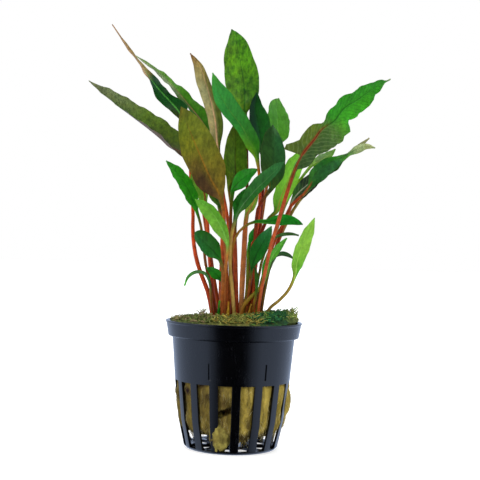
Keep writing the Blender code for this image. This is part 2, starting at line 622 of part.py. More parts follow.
def leaf_surface(sections, fold, swell=0.0):
    """Points and faces of one leaf; swell thickens it all round."""
    centres = sections[:, :3]
    heading = np.gradient(centres, axis=0)
    heading /= np.linalg.norm(heading, axis=1)[:, None]
    toward = np.array(VIEW_EYE) - centres
    toward -= heading * np.sum(toward * heading, axis=1)[:, None]
    toward /= np.linalg.norm(toward, axis=1)[:, None]
    across = np.cross(heading, toward)
    turn = np.radians(sections[:, 4])[:, None]
    side = across * np.cos(turn) - toward * np.sin(turn)
    face = toward * np.cos(turn) + across * np.sin(turn)
    along = sections[:, 5]
    blend = np.clip(along * 5, 0.0, 1.0)
    half_width = sections[:, 3] / 2
    stalk_half = half_width[0]
    thick = stalk_half + (BLADE_HALF - stalk_half) * blend
    thick = thick + (TIP_HALF - thick) * along ** 4
    lift = math.tan(math.radians(fold)) * blend
    points = []
    for k in range(len(sections)):
        for corner in range(RING):
            angle = -2 * math.pi * corner / RING
            out = (half_width[k] + swell) * math.cos(angle)
            up = (thick[k] + swell) * math.sin(angle) + lift[k] * (abs(out) - half_width[k] * 0.5)
            points.append(centres[k] + side[k] * out + face[k] * up)
    faces = []
    for low in range(0, len(points) - RING, RING):
        high = low + RING
        faces += [(low + i, low + (i + 1) % RING, high + (i + 1) % RING, high + i) for i in range(RING)]
    return points, faces


def shift_depth(sections, amount):
    """Sections moved in depth along their sight lines; the root keeps its height."""
    moved = sections.copy()
    eye = np.array(VIEW_EYE)
    offset = sections[:, :3] - eye
    moved[:, :3] = eye + offset * (1 + amount / offset[:, 1])[:, None]
    moved[0, 0] = sections[0, 0]
    moved[0, 2] = sections[0, 2]
    return moved


def ease_apart(leaves):
    """Push leaves that touch apart in depth until each clears the rest."""
    names = list(leaves)
    sections = {name: leaf_sections(leaves[name]) for name in names}
    order = {}
    for _ in range(EASE_ROUNDS):
        trees = {}
        for name in names:
            points, faces = leaf_surface(sections[name], leaves[name][4], CLEARANCE)
            trees[name] = BVHTree.FromPolygons([tuple(point) for point in points], faces)
        push = {name: np.zeros(len(sections[name])) for name in names}
        touching = False
        for i, first in enumerate(names):
            for second in names[i + 1:]:
                hits = trees[first].overlap(trees[second])
                if not hits:
                    continue
                touching = True
                bands = [sorted({hit[side] // RING for hit in hits}) for side in (0, 1)]
                if (first, second) not in order:
                    depth = [np.mean([sections[name][band:band + 2, 1].mean() for band in found])
                             for name, found in zip((first, second), bands)]
                    order[first, second] = 1.0 if depth[0] > depth[1] else -1.0
                for name, found, sign in ((first, bands[0], 1.0), (second, bands[1], -1.0)):
                    places = np.arange(len(sections[name]))
                    reach = np.max([np.exp(-((places - band - 0.5) / EASE_SPREAD) ** 2) for band in found],
                                   axis=0)
                    push[name] += sign * order[first, second] * EASE_STEP * reach
        if not touching:
            break
        for name in names:
            sections[name] = shift_depth(sections[name], np.clip(push[name], -3 * EASE_STEP, 3 * EASE_STEP))
    return sections


def make_leaf(name, leaf, sections, parts):
    """One leaf, stalk and blade grown as one piece."""
    points, faces = leaf_surface(sections, leaf[4])
    faces.append(tuple(range(RING - 1, -1, -1)))
    faces.append(tuple(range(len(points) - RING, len(points))))
    add_mesh(name, points, faces, parts, leaf[0])


def main():
    clear_scene()
    parts = new_collection("potted_cryptocoryne")
    cutters = new_collection("cutters")
    make_pot(parts, cutters)
    make_wool(parts)
    make_moss(parts)
    for name, sections in ease_apart(LEAVES).items():
        make_leaf(name, LEAVES[name], sections, parts)


main()
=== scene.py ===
"""Looks of a young cryptocoryne in a small black net pot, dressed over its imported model.

Lengths are in millimetres until a mesh is made. Leaves are placed by where they show in a 480 x 480 view
of the plant and by their depth, as their solids are: + behind the pot's axis and - in front of it.
"""
import math

import bpy
import numpy as np
from mathutils import Matrix, Vector, noise
from mathutils.bvhtree import BVHTree


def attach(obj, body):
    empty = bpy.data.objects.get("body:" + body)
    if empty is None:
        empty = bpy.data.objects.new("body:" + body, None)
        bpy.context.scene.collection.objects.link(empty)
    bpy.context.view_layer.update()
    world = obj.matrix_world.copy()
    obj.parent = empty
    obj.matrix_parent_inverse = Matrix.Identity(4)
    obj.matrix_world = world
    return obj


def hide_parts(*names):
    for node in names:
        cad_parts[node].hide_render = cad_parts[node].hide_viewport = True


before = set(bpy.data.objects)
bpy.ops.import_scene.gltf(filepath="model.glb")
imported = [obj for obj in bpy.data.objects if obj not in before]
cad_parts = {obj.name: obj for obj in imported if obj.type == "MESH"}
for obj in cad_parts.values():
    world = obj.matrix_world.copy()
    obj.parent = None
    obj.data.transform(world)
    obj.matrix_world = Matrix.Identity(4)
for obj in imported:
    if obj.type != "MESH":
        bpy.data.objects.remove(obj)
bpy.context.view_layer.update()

MM = 0.001
FRONT = -math.pi / 2

# The pot: outer profile, windows between ribs, slits and floor
RIM_Z = 50.4
RIM_R = 27.2
LIP = 0.7
SOFT = 0.3
COLLAR_R = 26.9
COLLAR_FOOT_R = 26.1
COLLAR_FOOT_Z = 44.3
BODY_R = 24.4
WINDOW_TOP_R = 22.9
WINDOW_TOP_Z = 27.0
WAIST_R = 21.2
WAIST_Z = 12.0
BASE_R = 18.9
CORNER = 2.2
WALL = 0.9
FLOOR = 1.2
WINDOW_FOOT_Z = FLOOR + 0.15
RIBS = 16
RIB_WIDTH = 3.3
FIRST_RIB_DEG = 4.5
SLIT_DEGREES = (-22.0, 33.0, 94.0, 155.0, 216.0, 277.0)
SLIT_WIDTH = 0.9
SLIT_DEPTH = 0.5
SLIT_HEIGHT = 6.2
SLIT_Z = 32.2
SPOKE_WIDTH = 2.2
HUB_R = 6.5
BASE_RING_R = 15.6
# How many columns of points a rib takes with its window, and how many of them are the rib's
PITCH_COLUMNS = 8
RIB_COLUMNS = 3
# Rows of the dressed wall, and of the rounded corner at its foot: how far inside the base's radius a row
# lies and how high, first for the outer face and then for the inner one
SLIT_TOP_Z = SLIT_Z + SLIT_HEIGHT / 2
WALL_ROWS_Z = (40.0, SLIT_TOP_Z, SLIT_Z - SLIT_HEIGHT / 2, WINDOW_TOP_Z, 22.0, 17.0, WAIST_Z, 7.0, 4.0)
CORNER_ROWS = ((0.0, CORNER, WALL + 0.15, CORNER + 0.3), (0.17, WINDOW_FOOT_Z, CORNER - 0.1, WINDOW_FOOT_Z),
               (0.3, 1.1, CORNER, 1.27), (1.1, 0.3, CORNER + 0.1, FLOOR), (CORNER, 0.0, CORNER + 0.5, FLOOR))
FLOOR_RINGS_R = (BASE_RING_R, 11.0, HUB_R, 2.0)
EDGE_ROUNDING = 0.16
EDGE_DEG = 35.0

# The view that leaf places are given in: its eye, its focal length in pixels and its tilt
VIEW_SIZE = 480
VIEW_EYE = Vector((1.45, -420.0, 79.6))
VIEW_FOCAL = 1049.0
VIEW_PITCH = math.radians(0.44)
VIEW_ROLL = math.radians(1.68)
SENSOR_WIDTH = 36.0

# A leaf's solid: its section counts (stalk, blade), its stalk's radius, its blade's and its tip's half
# thickness, how soon it flattens above the stalk, the share of its half width where the fold crosses its
# middle surface, and how late it thins towards the tip
ROOT_Z = 46.7
LONG_LEAF = (7, 10)
SHORT_LEAF = (5, 6)
LONG_LEAF_STATIONS = 7
STALK_R = 0.58
SLIM_STALK = 0.75
SLIM_STALK_STATIONS = 3
BLADE_HALF = 0.25
TIP_HALF = 0.14
RING = 8
FLATTEN_RATE = 5
FOLD_LEVEL = 0.5
TIP_POWER = 4

# Depths fan out by this share from a row upward, and leaves that touch are eased apart in small steps
FAN = 0.5
FAN_ROW = 310.0
FAN_ROWS = 200.0
CLEARANCE = 0.2
EASE_STEP = 0.12
EASE_MOST = 3 * EASE_STEP
EASE_SPREAD = 1.6
EASE_ROUNDS = 260

# A dressed leaf: sections in its stalk and blade, columns at its midrib and towards each margin
FINE_LONG = (18, 52)
FINE_SHORT = (10, 34)
RIB_STEPS = (-1.6, -1.0, -0.5, 0.0, 0.5, 1.0, 1.6)
SIDE_STEPS = (0.16, 0.34, 0.53, 0.72, 0.88, 1.0)
SKIN_HALF = 0.15
RIB_RISE = 0.42
GROOVE_DEPTH = 0.07
CREASE = 0.5
VEIN_SPACING = 1.9
VEIN_SLANT = 1.1
VEIN_LIFT = 0.045
# The tip: how far it is drawn back, over which share of the blade it rounds off, to which share of its
# width, and how much thinner the blade gets up to it
TIP_PULL = 0.4
TIP_ROUNDING = 0.05
TIP_LEFT = 0.1
TIP_THINNING = 0.5
# Least half widths of a margin and a midrib, and the midrib's greatest share of the half width
LEAST_HALF = 0.35
LEAST_RIB = 0.004
MOST_RIB = 0.6
# By which share the midrib narrows and its ridge sinks towards the tip, how far a stalk sinks into its
# blade, and how soon the blade may be narrower than the stalk
RIB_TAPER = 0.7
RIDGE_TAPER = 0.85
STALK_SINK = 0.75
NARROWING_RATE = 2.5
# A margin's waves: the half width from which they are full, how steeply they grow across the blade, how
# far the two margins' waves are apart, the second wave's strength and rate, and how they end at the tip
FULL_WAVE = 2.2
WAVE_POWER = 2.5
WAVE_SHIFT = 1.3
SECOND_WAVE = 0.4
SECOND_WAVE_RATE = 2.3
WAVE_END_RATE = 6
# The half width from which a margin is swept back fully, and how steeply that grows across the blade
FULL_SWEEP = 3.0
SWEEP_POWER = 1.5
# Leaves whose raised midrib faces the view
RAISED = ("leaf_right_large", "leaf_dark_behind", "leaf_yellow_middle", "leaf_light_inner", "leaf_grey_pink",
          "leaf_dark_front")
# Each kind's material slot, roughness, strength of mottling and of dark spots
LEAF_FINISH = {
    "olive": ("olive_leaf", 0.42, 0.2, 0.35), "dark": ("dark_leaf", 0.4, 0.15, 0.2),
    "green": ("green_leaf", 0.38, 0.16, 0.25), "bronze": ("bronze_leaf", 0.45, 0.22, 0.25),
    "grey": ("grey_pink_leaf", 0.5, 0.2, 0.15), "bright": ("bright_leaf", 0.38, 0.14, 0.2),
    "mottled": ("mottled_leaf", 0.4, 0.3, 1.0), "bluish": ("bluish_leaf", 0.42, 0.16, 0.2),
    "light": ("light_leaf", 0.4, 0.12, 0.12), "grey_green": ("grey_green_leaf", 0.48, 0.2, 0.2),
    "straw": ("straw_shoot", 0.55, 0.15, 0.1)}
# Where along its blade a midrib's colour starts and ends to change, and into which colour
RIB_CHANGES = {"leaf_right_large": (0.32, 0.44, "23701c"), "leaf_right_dark": (0.0, 0.08, "2c6434"),
               "leaf_left_long": (0.45, 0.62, "5c6a44"), "leaf_wavy_back": (0.55, 0.7, "8a9a80"),
               "leaf_far_left": (0.5, 0.56, "b48c74"), "leaf_big_bronze": (0.72, 0.85, "6c6c20")}
# Leaves whose midrib has a groove between two raised lines, painted dark along its middle as shade
GROOVED = ("leaf_right_large", "leaf_light_inner")
# The share of the blade up to which a leaf's veins are lighter than its skin
LIGHT_VEINS = {"leaf_right_large": 0.45, "leaf_dark_behind": 1.0}
# A stalk's foot is thicker (+) or thinner (-) by this share, which fades out over this length
FOOT_SWELL = {"leaf_left_long": 0.75, "leaf_grey_pink": 0.6, "leaf_right_large": -0.25,
              "leaf_light_inner": 0.6, "leaf_left_light": 0.15, "leaf_right_strap": 0.1,
              "leaf_left_strap": 0.1, "leaf_level_dark": 0.0, "leaf_olive_middle": 0.1, "others": 0.35}
STALK_TAPER_LENGTH = 70.0
# How thick these stalks are, as a share of their solids
STALK_THICKNESS = {
    "leaf_right_large": 1.35, "leaf_level_dark": 0.85, "leaf_left_bright": 0.8, "leaf_yellow_middle": 1.4,
    "leaf_green_lower": 1.3, "leaf_middle_small": 1.3, "leaf_olive_inner": 1.4, "leaf_far_left": 1.2}
# A stalk's colour runs over into its blade's from this far below the blade to this far up it
JOINT_LENGTHS = (2.5, 2.5)
# How much brighter a stalk's tint is than a blade's, as painted sheen and glow of light through it, and
# which share of a tint a leaf keeps under the studio light, in red, green and blue
STALK_GAIN = np.array([1.25, 1.1, 0.75])
LEAF_GAIN = np.array([0.69, 0.69, 0.5])
# What a blade's margin is tinted with, how strongly, how dark it is and from which share of the blade on
MARGIN_TINT = np.array([0.05, 0.03, 0.005])
MARGIN_MIX = 0.25
MARGIN_SHADE = 0.6
MARGIN_FROM = 0.9
# How dark the painted shade in a grooved midrib's groove is
GROOVE_SHADE = 0.3

# The dressed plug: how far inside the wall it lies, how far it swells out of a window and may at most, its
# bulges at both sides, its folds and grain, from where to where painted shade darkens it to the left, and
# its pale, deep and dark tints, the dark one for its darker patches and its painted shade
WOOL_TOP_Z = 46.4
WOOL_ROWS = 72
WOOL_COLUMNS = 384
WOOL_GAP = 0.25
WOOL_SWELL = 0.75
WOOL_MOST_SWELL = 2.2
WOOL_MORE_AT_RIGHT = 0.8
BULGE_RIGHT = 2.0
BULGE_LEFT = 0.9
WOOL_BULGE_Z = 19.0
WOOL_BULGE_HEIGHT = 11.0
WOOL_FOLDS = 0.75
WOOL_GRAIN = 0.14
WOOL_SHADE_X = (4.0, -3.0)
WOOL_TINTS = ("a28f42", "7a6a28", "35260c")
# Its ragged hem, which is drawn in and has a low place, its underside's rings as shares of the hem's radius,
# the hole in its front (half width and height, slant, depth) and the lump beside it
WOOL_HEM_Z = 8.2
HEM_WAVE = 1.4
HEM_RAGS = 1.3
HEM_DRAWN_IN = 2.16
HEM_CURL = 2.0
UNDER_RINGS = (0.9, 0.6, 0.3)
UNDER_DROP = 3.2
UNDER_MIDDLE_DROP = 2.6
HEM_R = 20.0
HEM_LOW_DEG = -72.0
HEM_LOW_SPREAD = 0.42
HEM_LOW = 2.2
HOLE_DEG = -98.5
HOLE_Z = 16.6
HOLE_HALF = (3.2, 1.15)
HOLE_SLANT = 0.35
HOLE_DEPTH = 5.0
LUMP_DEG = -103.5
LUMP_R = 15.9
LUMP_Z = 8.4
LUMP_HALF = (5.2, 4.0, 7.6)
LUMP_ROWS = 44
LUMP_COLUMNS = 48
LUMP_TINTS = ("8c823e", "594c20")
# Loose fibres: their radius, where they start, how far they run down, lean and bow out, and their tints
# with each one's share
WOOL_FIBRES = 1500
WOOL_FIBRE_R = 0.055
WOOL_FIBRE_RINGS = 6
WOOL_FIBRE_SIDES = 3
FIBRE_FROM_Z = (8.0, 26.5)
FIBRE_OVER_HEM = (-0.3, 1.5)
FIBRE_DROPS = (1.2, 3.8)
FIBRE_LEAN = 0.05
FIBRE_BOWS = (0.05, 0.45)
FIBRE_TINTS = {"c8ba7c": 0.3, "a89a58": 0.3, "8a7c40": 0.2, "d8cda0": 0.1, "5f4a24": 0.1}

# The dressed moss: its height, how far it rises at the right and in front up to a radius, its lumps, how
# far its edge drops in front and behind, and its bed's columns and rings
MOSS_TOP_Z = 51.5
MOSS_RISE_RIGHT = 3.0
MOSS_RISE_FRONT = 1.9
MOSS_RISE_R = 14.0
MOSS_LUMPS = 0.55
MOSS_FRONT_DROP = 0.2
MOSS_BACK_DROP = 1.0
MOSS_EDGE_R = (23.5, 26.5)
MOSS_COLUMNS = 180
MOSS_LOW_R = 24.2
MOSS_RINGS_R = (MOSS_LOW_R, MOSS_LOW_R + 0.6, 25.6, 25.9, 25.0, 23.0, 20.5, 18.0, 15.5, 13.0, 10.5, 8.0,
                5.5, 3.0)
MOSS_EDGE_Z = (ROOT_Z, RIM_Z + 0.35, RIM_Z + 0.5)
MOSS_BED_DEPTH = 1.1
MOSS_BED_LUMPS = 0.3
MOSS_BED_DIP = 1.6
MOSS_BED_TINT = "2c3416"
# Its strands: how deep they root, their lengths, their radii, and how they lean and curl
MOSS_STRANDS = 2800
STRAND_DEPTH = 1.3
STRAND_LENGTHS = (1.5, 3.1)
STRAND_RADII = (0.16, 0.3)
STRAND_LEANS = (0.2, 1.2)
STRAND_BEND = 1.1
STRAND_CURL = 1.2
MOSS_STRAND_RINGS = 7
MOSS_STRAND_SIDES = 4
MOSS_SPREAD_R = 25.4
MOSS_REACH_R = 26.6
# Its tufts (x, y, spread, rise), and where its shades change: near the first tuft, on the bump at the
# right, and to both sides of the middle
MOSS_TUFTS = ((-12.5, -8.5, 2.4, 2.8), (23.2, 0.0, 2.4, 2.2))
TUFT_TINT_R_SQUARED = 6.0
BUMP_X = 21.0
MIDDLE_X = 9.0
MOSS_SHADES = {
    "left": ("5f6b34", "767a44", "8a7858", "50622a"), "middle": ("8e8c46", "9c8a3c", "7c803a", "646e30"),
    "right": ("1e5a34", "2c683a", "507c34", "184c26"), "bump": ("7a8a44", "949a58", "68863c", "74843c"),
    "tuft": ("a0a080", "8c9468", "b09a84", "7a8458")}

# How much the floor glows and from how near to how far in metres it does so, to meet the white backdrop
FLOOR_GLOW = 0.62
FLOOR_FADE = (0.07, 0.16)
FLOOR_HALF = 4.0
# The studio in metres: each light's place, the height that it is aimed at, its size, power and colour, and
# what the pot mirrors and what lights the rest from dark and from bright directions
WARM = (1.0, 0.97, 0.92)
WHITE = (1.0, 1.0, 1.0)
LIGHTS = {"key": ((-0.75, -0.5, 0.6), 0.09, 0.5, 4.6, WARM),
          "fill": ((0.75, -0.5, 0.35), 0.08, 0.5, 2.2, WARM),
          "front": ((0.0, -0.9, 0.55), 0.09, 0.4, 2.0, WHITE),
          "top": ((0.05, 0.1, 0.9), 0.1, 0.6, 2.2, WHITE)}
MIRRORED = ((0.004, 0.004, 0.005, 1), (0.72, 0.88, 1.22, 1))
AMBIENT = ((0.02, 0.02, 0.02, 1), (0.46, 0.46, 0.44, 1))

# Each leaf: its kind, root (x, y in mm), stalk stations (column, row, depth), blade stations
# (column, row, depth, width in mm as the view shows it, turn in degrees) from base to tip, and its
# fold in degrees. Turn is 0 where the blade faces the view and grows as its face turns up or right.
LEAVES = {
    "leaf_left_long": ("olive", (-7.6, 1.5),
        [(207, 289, 2), (201, 274, 2.5), (196, 257, 3), (193, 235, 3.5), (193, 211, 4), (191, 185, 4.5)],
        [(188, 160, 5, 1.3, 48), (179, 148.5, 6, 5.6, 50), (165.5, 134.5, 8, 6.7, 50),
         (151.5, 124, 10, 6.3, 50), (136, 113.5, 12, 5.7, 50), (120, 102.5, 13, 4.9, 50),
         (104, 91, 14, 3.4, 50), (88.5, 80.4, 15, 0.4, 50)], 35),
    "leaf_far_left": ("dark", (-4.5, 6), [(214, 280, 8), (208, 240, 9.5), (200, 190, 11), (191, 143, 12)],
        [(184, 122, 13, 1.5, 10), (176, 107, 14, 6.6, 20), (164, 94, 15, 6.2, 25), (155, 84, 16, 3.4, 40),
         (143, 67, 18, 1.6, 50), (127, 46, 20, 1.1, 50), (112, 24, 22, 0.3, 50)], 16),
    "leaf_wavy_back": ("green", (-2.6, 8), [(222, 280, 11), (222, 230, 14), (219.5, 180, 17)],
        [(217.5, 146, 19, 1.5, 0), (211, 131, 20, 4.4, 15), (203, 118.5, 21, 4.8, 25),
         (193, 106.5, 22, 5, 30), (182, 94, 23, 4.2, 35), (170, 82, 24, 2.8, 40), (154, 68.5, 25, 1.9, 45),
         (135.5, 55.5, 26, 0.3, 45)], 16),
    "leaf_big_bronze": ("bronze", (-2.5, -5.5),
        [(227, 295, -8), (226, 260, -11), (224.5, 230, -13), (223.5, 212, -14)],
        [(221, 199, -15, 2, 12), (216.5, 189, -16, 7.6, 20), (211.5, 179.5, -17, 11.4, 25),
         (203, 160, -19, 12.5, 30), (194, 139, -21, 11.8, 32), (187, 122, -23, 7.8, 32),
         (181, 106.6, -25, 0.6, 32)], 10),
    "leaf_grey_pink": ("grey", (-0.8, 3.6),
        [(232, 290, 4), (231, 260, 5), (230, 240, 5.5), (226.4, 211, 6), (223.4, 195, 6.5), (220, 165, 7)],
        [(218, 148, 7.5, 1.8, -15), (216, 130, 8.5, 6, -30), (210.5, 106, 9, 7.3, -34),
         (203.5, 84, 9.5, 6.2, -34), (197.8, 66, 10, 3.6, -34), (190, 53, 10.5, 0.5, -34)], 14),
    "leaf_bright_crossing": ("bright", (4.6, -3.4),
        [(248, 281, -5), (249, 266, -5.5), (251, 251, -6), (257, 228, -7), (260, 193, -8),
         (259, 172, -8.5)],
        [(257, 158, -9, 1.8, 12), (252, 143, -9.5, 6, 28), (243, 126, -10, 6, 34),
         (229.5, 108, -11, 7.5, 36), (218.5, 90, -12, 5.4, 36), (212.5, 72.5, -13, 0.5, 36)], 10),
    "leaf_top_mottled": ("mottled", (2.2, 0.5),
        [(242, 300, 0), (245, 250, 0), (247, 200, 0), (247, 160, 0), (246.5, 138, 0)],
        [(244.8, 113, 0, 1.8, 0), (244.5, 100, 0.5, 10, -20), (242.5, 82, 1, 13.2, -30),
         (239, 62, 1.5, 12.3, -32), (235.5, 44, 2, 8.5, -32), (231.5, 29, 3, 0.6, -32)], 8),
    "leaf_dark_upper": ("dark", (3.6, 3.4), [(252, 290, 2), (258, 240, 1), (262, 200, 0), (264, 175, -1)],
        [(263, 157, -2, 1.5, 20), (262, 140, -2.5, 7, 36), (259, 122, -3, 7.9, 40),
         (256, 107, -3.5, 5.5, 40), (257, 92, -4, 0.5, 40)], 14),
    "leaf_dark_centre": ("bluish", (6, -5.4),
        [(253, 300, -8), (255, 260, -10), (256, 225, -12), (259, 206, -12.5), (265, 197, -13)],
        [(271, 189, -14, 1.8, -10), (273, 176, -15, 7.8, -25), (273.5, 160, -16, 9.6, -32),
         (273.5, 145, -17, 8.4, -32), (273, 134, -18, 5.5, -32), (273, 125, -19, 0.6, -32)], 12),
    "leaf_back_right": ("bright", (5, 6.8), [(252, 280, 9), (260, 230, 11), (268, 180, 13)],
        [(275, 148, 14, 1.5, 20), (278.5, 132, 15, 8.3, 38), (278, 116, 16, 8.5, 40),
         (277.5, 106, 17, 6.6, 40), (279, 98, 18, 0.6, 40)], 10),
    "leaf_olive_middle": ("olive", (-1.4, -0.6),
        [(230, 290, -2), (230, 250, -2.5), (230.5, 216, -3), (231, 204, -3)],
        [(229.5, 188, -3.5, 1.8, 5), (234.5, 177, -3.5, 8.2, 22), (235, 160, -3.5, 9.3, 28),
         (235.5, 145, -3, 8.1, 28), (236, 132, -3, 5.2, 28), (236.5, 121, -3, 0.6, 28)], 12),
    "leaf_green_middle": ("green", (-0.6, -3.8), [(232, 280, -4.5), (231, 240, -5), (231, 207, -5)],
        [(232.5, 191, -5.5, 1.4, -20), (239, 181.5, -6, 5, -34), (248, 174.5, -6.5, 4.7, -36),
         (258, 169, -7, 0.5, -36)], 14),
    "leaf_green_lower": ("green", (1.2, -5), [(236, 290, -6), (235, 250, -6.5), (234.5, 230, -6.5)],
        [(235.5, 216, -7, 1.4, 10), (239, 202.5, -7.5, 4.6, 24), (243.5, 195, -8, 3.6, 26),
         (249, 187, -8.5, 0.5, 26)], 14),
    "leaf_dark_front": ("bluish", (0.6, -7.8),
        [(232, 286, -10), (230, 266, -12), (230, 251, -13.5), (232, 232, -15)],
        [(236, 218, -16, 1.6, -10), (243, 204, -18, 4.5, -25), (254, 190, -20, 5.2, -34),
         (266, 178, -22, 4.8, -34), (276, 169, -24, 3.5, -34), (284, 162, -26, 0.5, -34)], 16),
    "leaf_light_front": ("light", (7.5, -3),
        [(254, 290, -6), (257, 255, -9), (262, 231, -11), (268, 219, -12.5)],
        [(275, 213, -13, 1.6, 20), (280, 199, -13.5, 5.7, 32), (286, 184, -14, 7.2, 35),
         (292, 170, -14.5, 7, 35), (298, 158, -15, 5.2, 35), (301, 150.5, -16, 2, 35)], 10),
    "leaf_right_large": ("green", (9, -7),
        [(261, 291, -12), (266, 268, -15), (271, 245, -18), (277, 226, -20), (284.5, 201, -22),
         (290.5, 182, -23)],
        [(293.5, 173.5, -23.5, 2.2, 0), (298.5, 161, -24, 8.6, 10), (306.5, 149, -24, 9.6, 16),
         (319.5, 137, -24, 10.3, 22), (334, 124.5, -23, 10.4, 28), (346, 110, -22, 8.6, 30),
         (361, 98, -21, 7.2, 30), (375, 87.5, -20, 5, 30), (391, 79, -18, 0.5, 30)], 10),
    "leaf_right_dark": ("grey_green", (8, -1),
        [(265, 286, -3), (268, 270, -4), (279, 239, -5), (283, 226, -5.5), (291.6, 205, -6),
         (304, 194, -6)],
        [(309.5, 187, -6, 2, -20), (317.5, 175.5, -5.5, 6.4, -26), (328, 166, -5, 6, -26),
         (339, 159.5, -4, 3.5, -20), (347.5, 155, -3, 1.5, 10), (357, 149.5, -2, 3.1, 20),
         (366, 146.5, -1, 2.5, 20), (375.5, 148, 0, 0.4, 20)], 18),
    "leaf_right_forked": ("grey_green", (9.6, 2.6),
        [(266, 280, 3), (281, 235, 3), (300, 200, 2), (322, 178, 1)],
        [(338, 165, 1, 1, 20), (348, 155, 1, 1.5, 20), (359, 146.5, 2, 1.9, 20),
         (369.5, 138, 3, 0.4, 20)], 10),
    "leaf_small_pale": ("light", (6.8, 4.6), [(262, 280, 5), (275, 235, 5), (290, 195, 5), (303, 176, 5)],
        [(311, 166, 5, 1.4, -10), (319, 160.5, 5.5, 3.6, -20), (328, 155.5, 6.5, 3.2, -20),
         (335.5, 149, 8, 0.5, -20)], 20),
    "leaf_dark_behind": ("grey_green", (7.2, 1.6),
        [(262, 285, 1), (271, 250, 1), (281, 228, 1), (288.6, 214, 1)],
        [(292.5, 201, 1, 1.6, -10), (300, 192.5, 0.5, 5.6, -22), (311, 182, 0, 5.8, -25),
         (324, 172, -1, 4.6, -25), (335.5, 165.5, -2, 3.8, -25), (344, 159.5, -3, 0.5, -25)], 14),
    "leaf_left_bright": ("bright", (-6, -2.5),
        [(210, 283, -4), (206, 266, -5), (203, 240, -6), (200, 222, -7)],
        [(197, 212, -8, 1.3, 20), (192, 198, -8.5, 4.7, 34), (185, 184, -9, 5.3, 38),
         (177, 172.5, -9.5, 4.4, 38), (166, 160.5, -10, 0.5, 38)], 14),
    "leaf_left_light": ("light", (-3.6, -8), [(224, 297, -10), (225, 271, -13), (227, 256, -15)],
        [(227.5, 245, -16, 1.4, -10), (221.5, 230, -18, 5, -22), (212, 214.5, -20, 5.4, -26),
         (203, 205, -22, 4, -26), (195, 199, -23, 0.5, -26)], 14),
    "leaf_left_oval": ("dark", (-4.8, -6), [(222, 300, -9), (223, 280, -12), (222.5, 268, -14)],
        [(220, 260, -15, 1.4, 12), (213, 250, -16, 6.6, 28), (204, 241, -17.5, 6.7, 33),
         (197.5, 235.5, -19, 4.2, 33), (194.5, 232.5, -20, 1, 33)], 12),
    "leaf_left_small": ("dark", (-5.2, -4.2), [(221, 300, -7), (223, 290, -9)],
        [(222, 281, -10, 1.2, -12), (217, 275, -11, 4, -25), (211.5, 270, -12, 3, -28),
         (206.6, 267.5, -13, 0.5, -28)], 12),
    "leaf_left_strap": ("green", (-7.8, -3.5), [(211, 300, -5), (210.5, 290, -6)],
        [(209.5, 282, -6, 1, 0), (205, 273.5, -6.5, 1.3, 0), (196, 272, -7, 1.4, 0),
         (188.5, 276.5, -7.5, 1.2, 0), (184.4, 286, -8, 0.4, 0)], 0),
    "leaf_right_strap": ("light", (11, -4.5), [(270, 308, -6.5), (279, 300.5, -7.5), (288.5, 290, -8.5)],
        [(294.4, 277, -9, 1.4, 20), (297.3, 263, -9.5, 4.6, 34), (302, 248, -10, 5.4, 38),
         (308, 233, -10.5, 4.3, 38), (314.7, 217.7, -11, 0.5, 38)], 12),
    "leaf_level_dark": ("dark", (-2, -3.8),
        [(229, 290, -7), (231, 262, -9.5), (233, 245, -11), (238, 233, -12), (246, 225.5, -13)],
        [(256, 221.5, -14, 1.3, 10), (267, 221.5, -14.5, 2, 30), (277, 220, -15, 3.7, 38),
         (288, 219.5, -15.5, 4, 38), (297, 222, -16, 2.4, 38), (303, 224.6, -16.5, 0.4, 38)], 12),
    "leaf_right_small": ("bright", (3.2, -8.6),
        [(243.6, 305.5, -9.8), (251, 297, -10.2), (259.6, 288.6, -10.6), (266, 275, -10.8)],
        [(269.6, 262, -11, 1.2, 10), (275, 252.5, -11.2, 2.8, 22), (281, 244.5, -11.4, 2.2, 24),
         (287, 238, -11.5, 0.5, 24)], 12),
    "leaf_thin_upper": ("green", (5.5, -1), [(258, 280, -4), (266, 250, -6)],
        [(275, 237.5, -7, 1, 0), (284, 234.3, -7.5, 1.4, 0), (292, 234, -8, 1.2, 0),
         (299, 235.5, -8, 0.4, 0)], 0),
    "leaf_thin_lower": ("green", (9.8, -2.4), [(266, 285, -5), (271, 265, -6)],
        [(275.5, 256.5, -6.5, 1, 0), (282, 253.6, -7, 1.8, 0), (288, 255, -7.5, 1.6, 0),
         (294, 259, -8, 0.4, 0)], 0),
    "leaf_front_oval": ("dark", (4.2, -6.8), [(248, 300, -9), (250, 282, -11)],
        [(251.7, 269, -12, 1.2, -10), (256.5, 254, -13, 5.6, -24), (263, 242, -14, 5.6, -28),
         (268, 234, -15, 3.6, -28), (271.6, 226, -16, 0.5, -28)], 12),
    "leaf_middle_small": ("bright", (2.9, -5.2), [(247, 290, -7), (248, 262, -8.5)],
        [(249.5, 243, -9, 1, 10), (252.5, 235, -9.3, 2.8, 20), (255.5, 227, -9.6, 0.5, 20)], 10),
    "leaf_narrow_bright": ("bright", (7.2, -6.6), [(259, 300, -8.5), (261, 288, -9.5)],
        [(262.5, 277, -10, 1, 0), (265, 265, -10.5, 1.9, 10), (267.6, 253, -11, 0.4, 10)], 0),
    "leaf_dark_spear": ("dark", (5.6, -8.2), [(254, 304, -9.5), (255.5, 297, -10)],
        [(256.5, 289, -11, 1, 0), (257, 279, -12, 1.8, 0), (255, 267, -13, 0.4, 0)], 0),
    "leaf_yellow_middle": ("light", (2, -2.4),
        [(241.5, 300, -2.8), (242, 281, -3), (243.6, 256, -3.5), (245.6, 224, -4)],
        [(247, 214, -4.3, 1.8, 8), (250, 207, -4.5, 3.8, 16), (254, 200, -4.7, 3, 18),
         (258, 191, -5, 0.5, 18)], 8),
    "leaf_light_inner": ("light", (-5.8, 0.8),
        [(212, 290, -0.5), (210, 262, -2), (208, 235, -3), (207, 218, -4)],
        [(205, 204, -4.5, 1.8, 10), (201.5, 192, -5, 5.4, 24), (197, 181, -5.2, 5.6, 24),
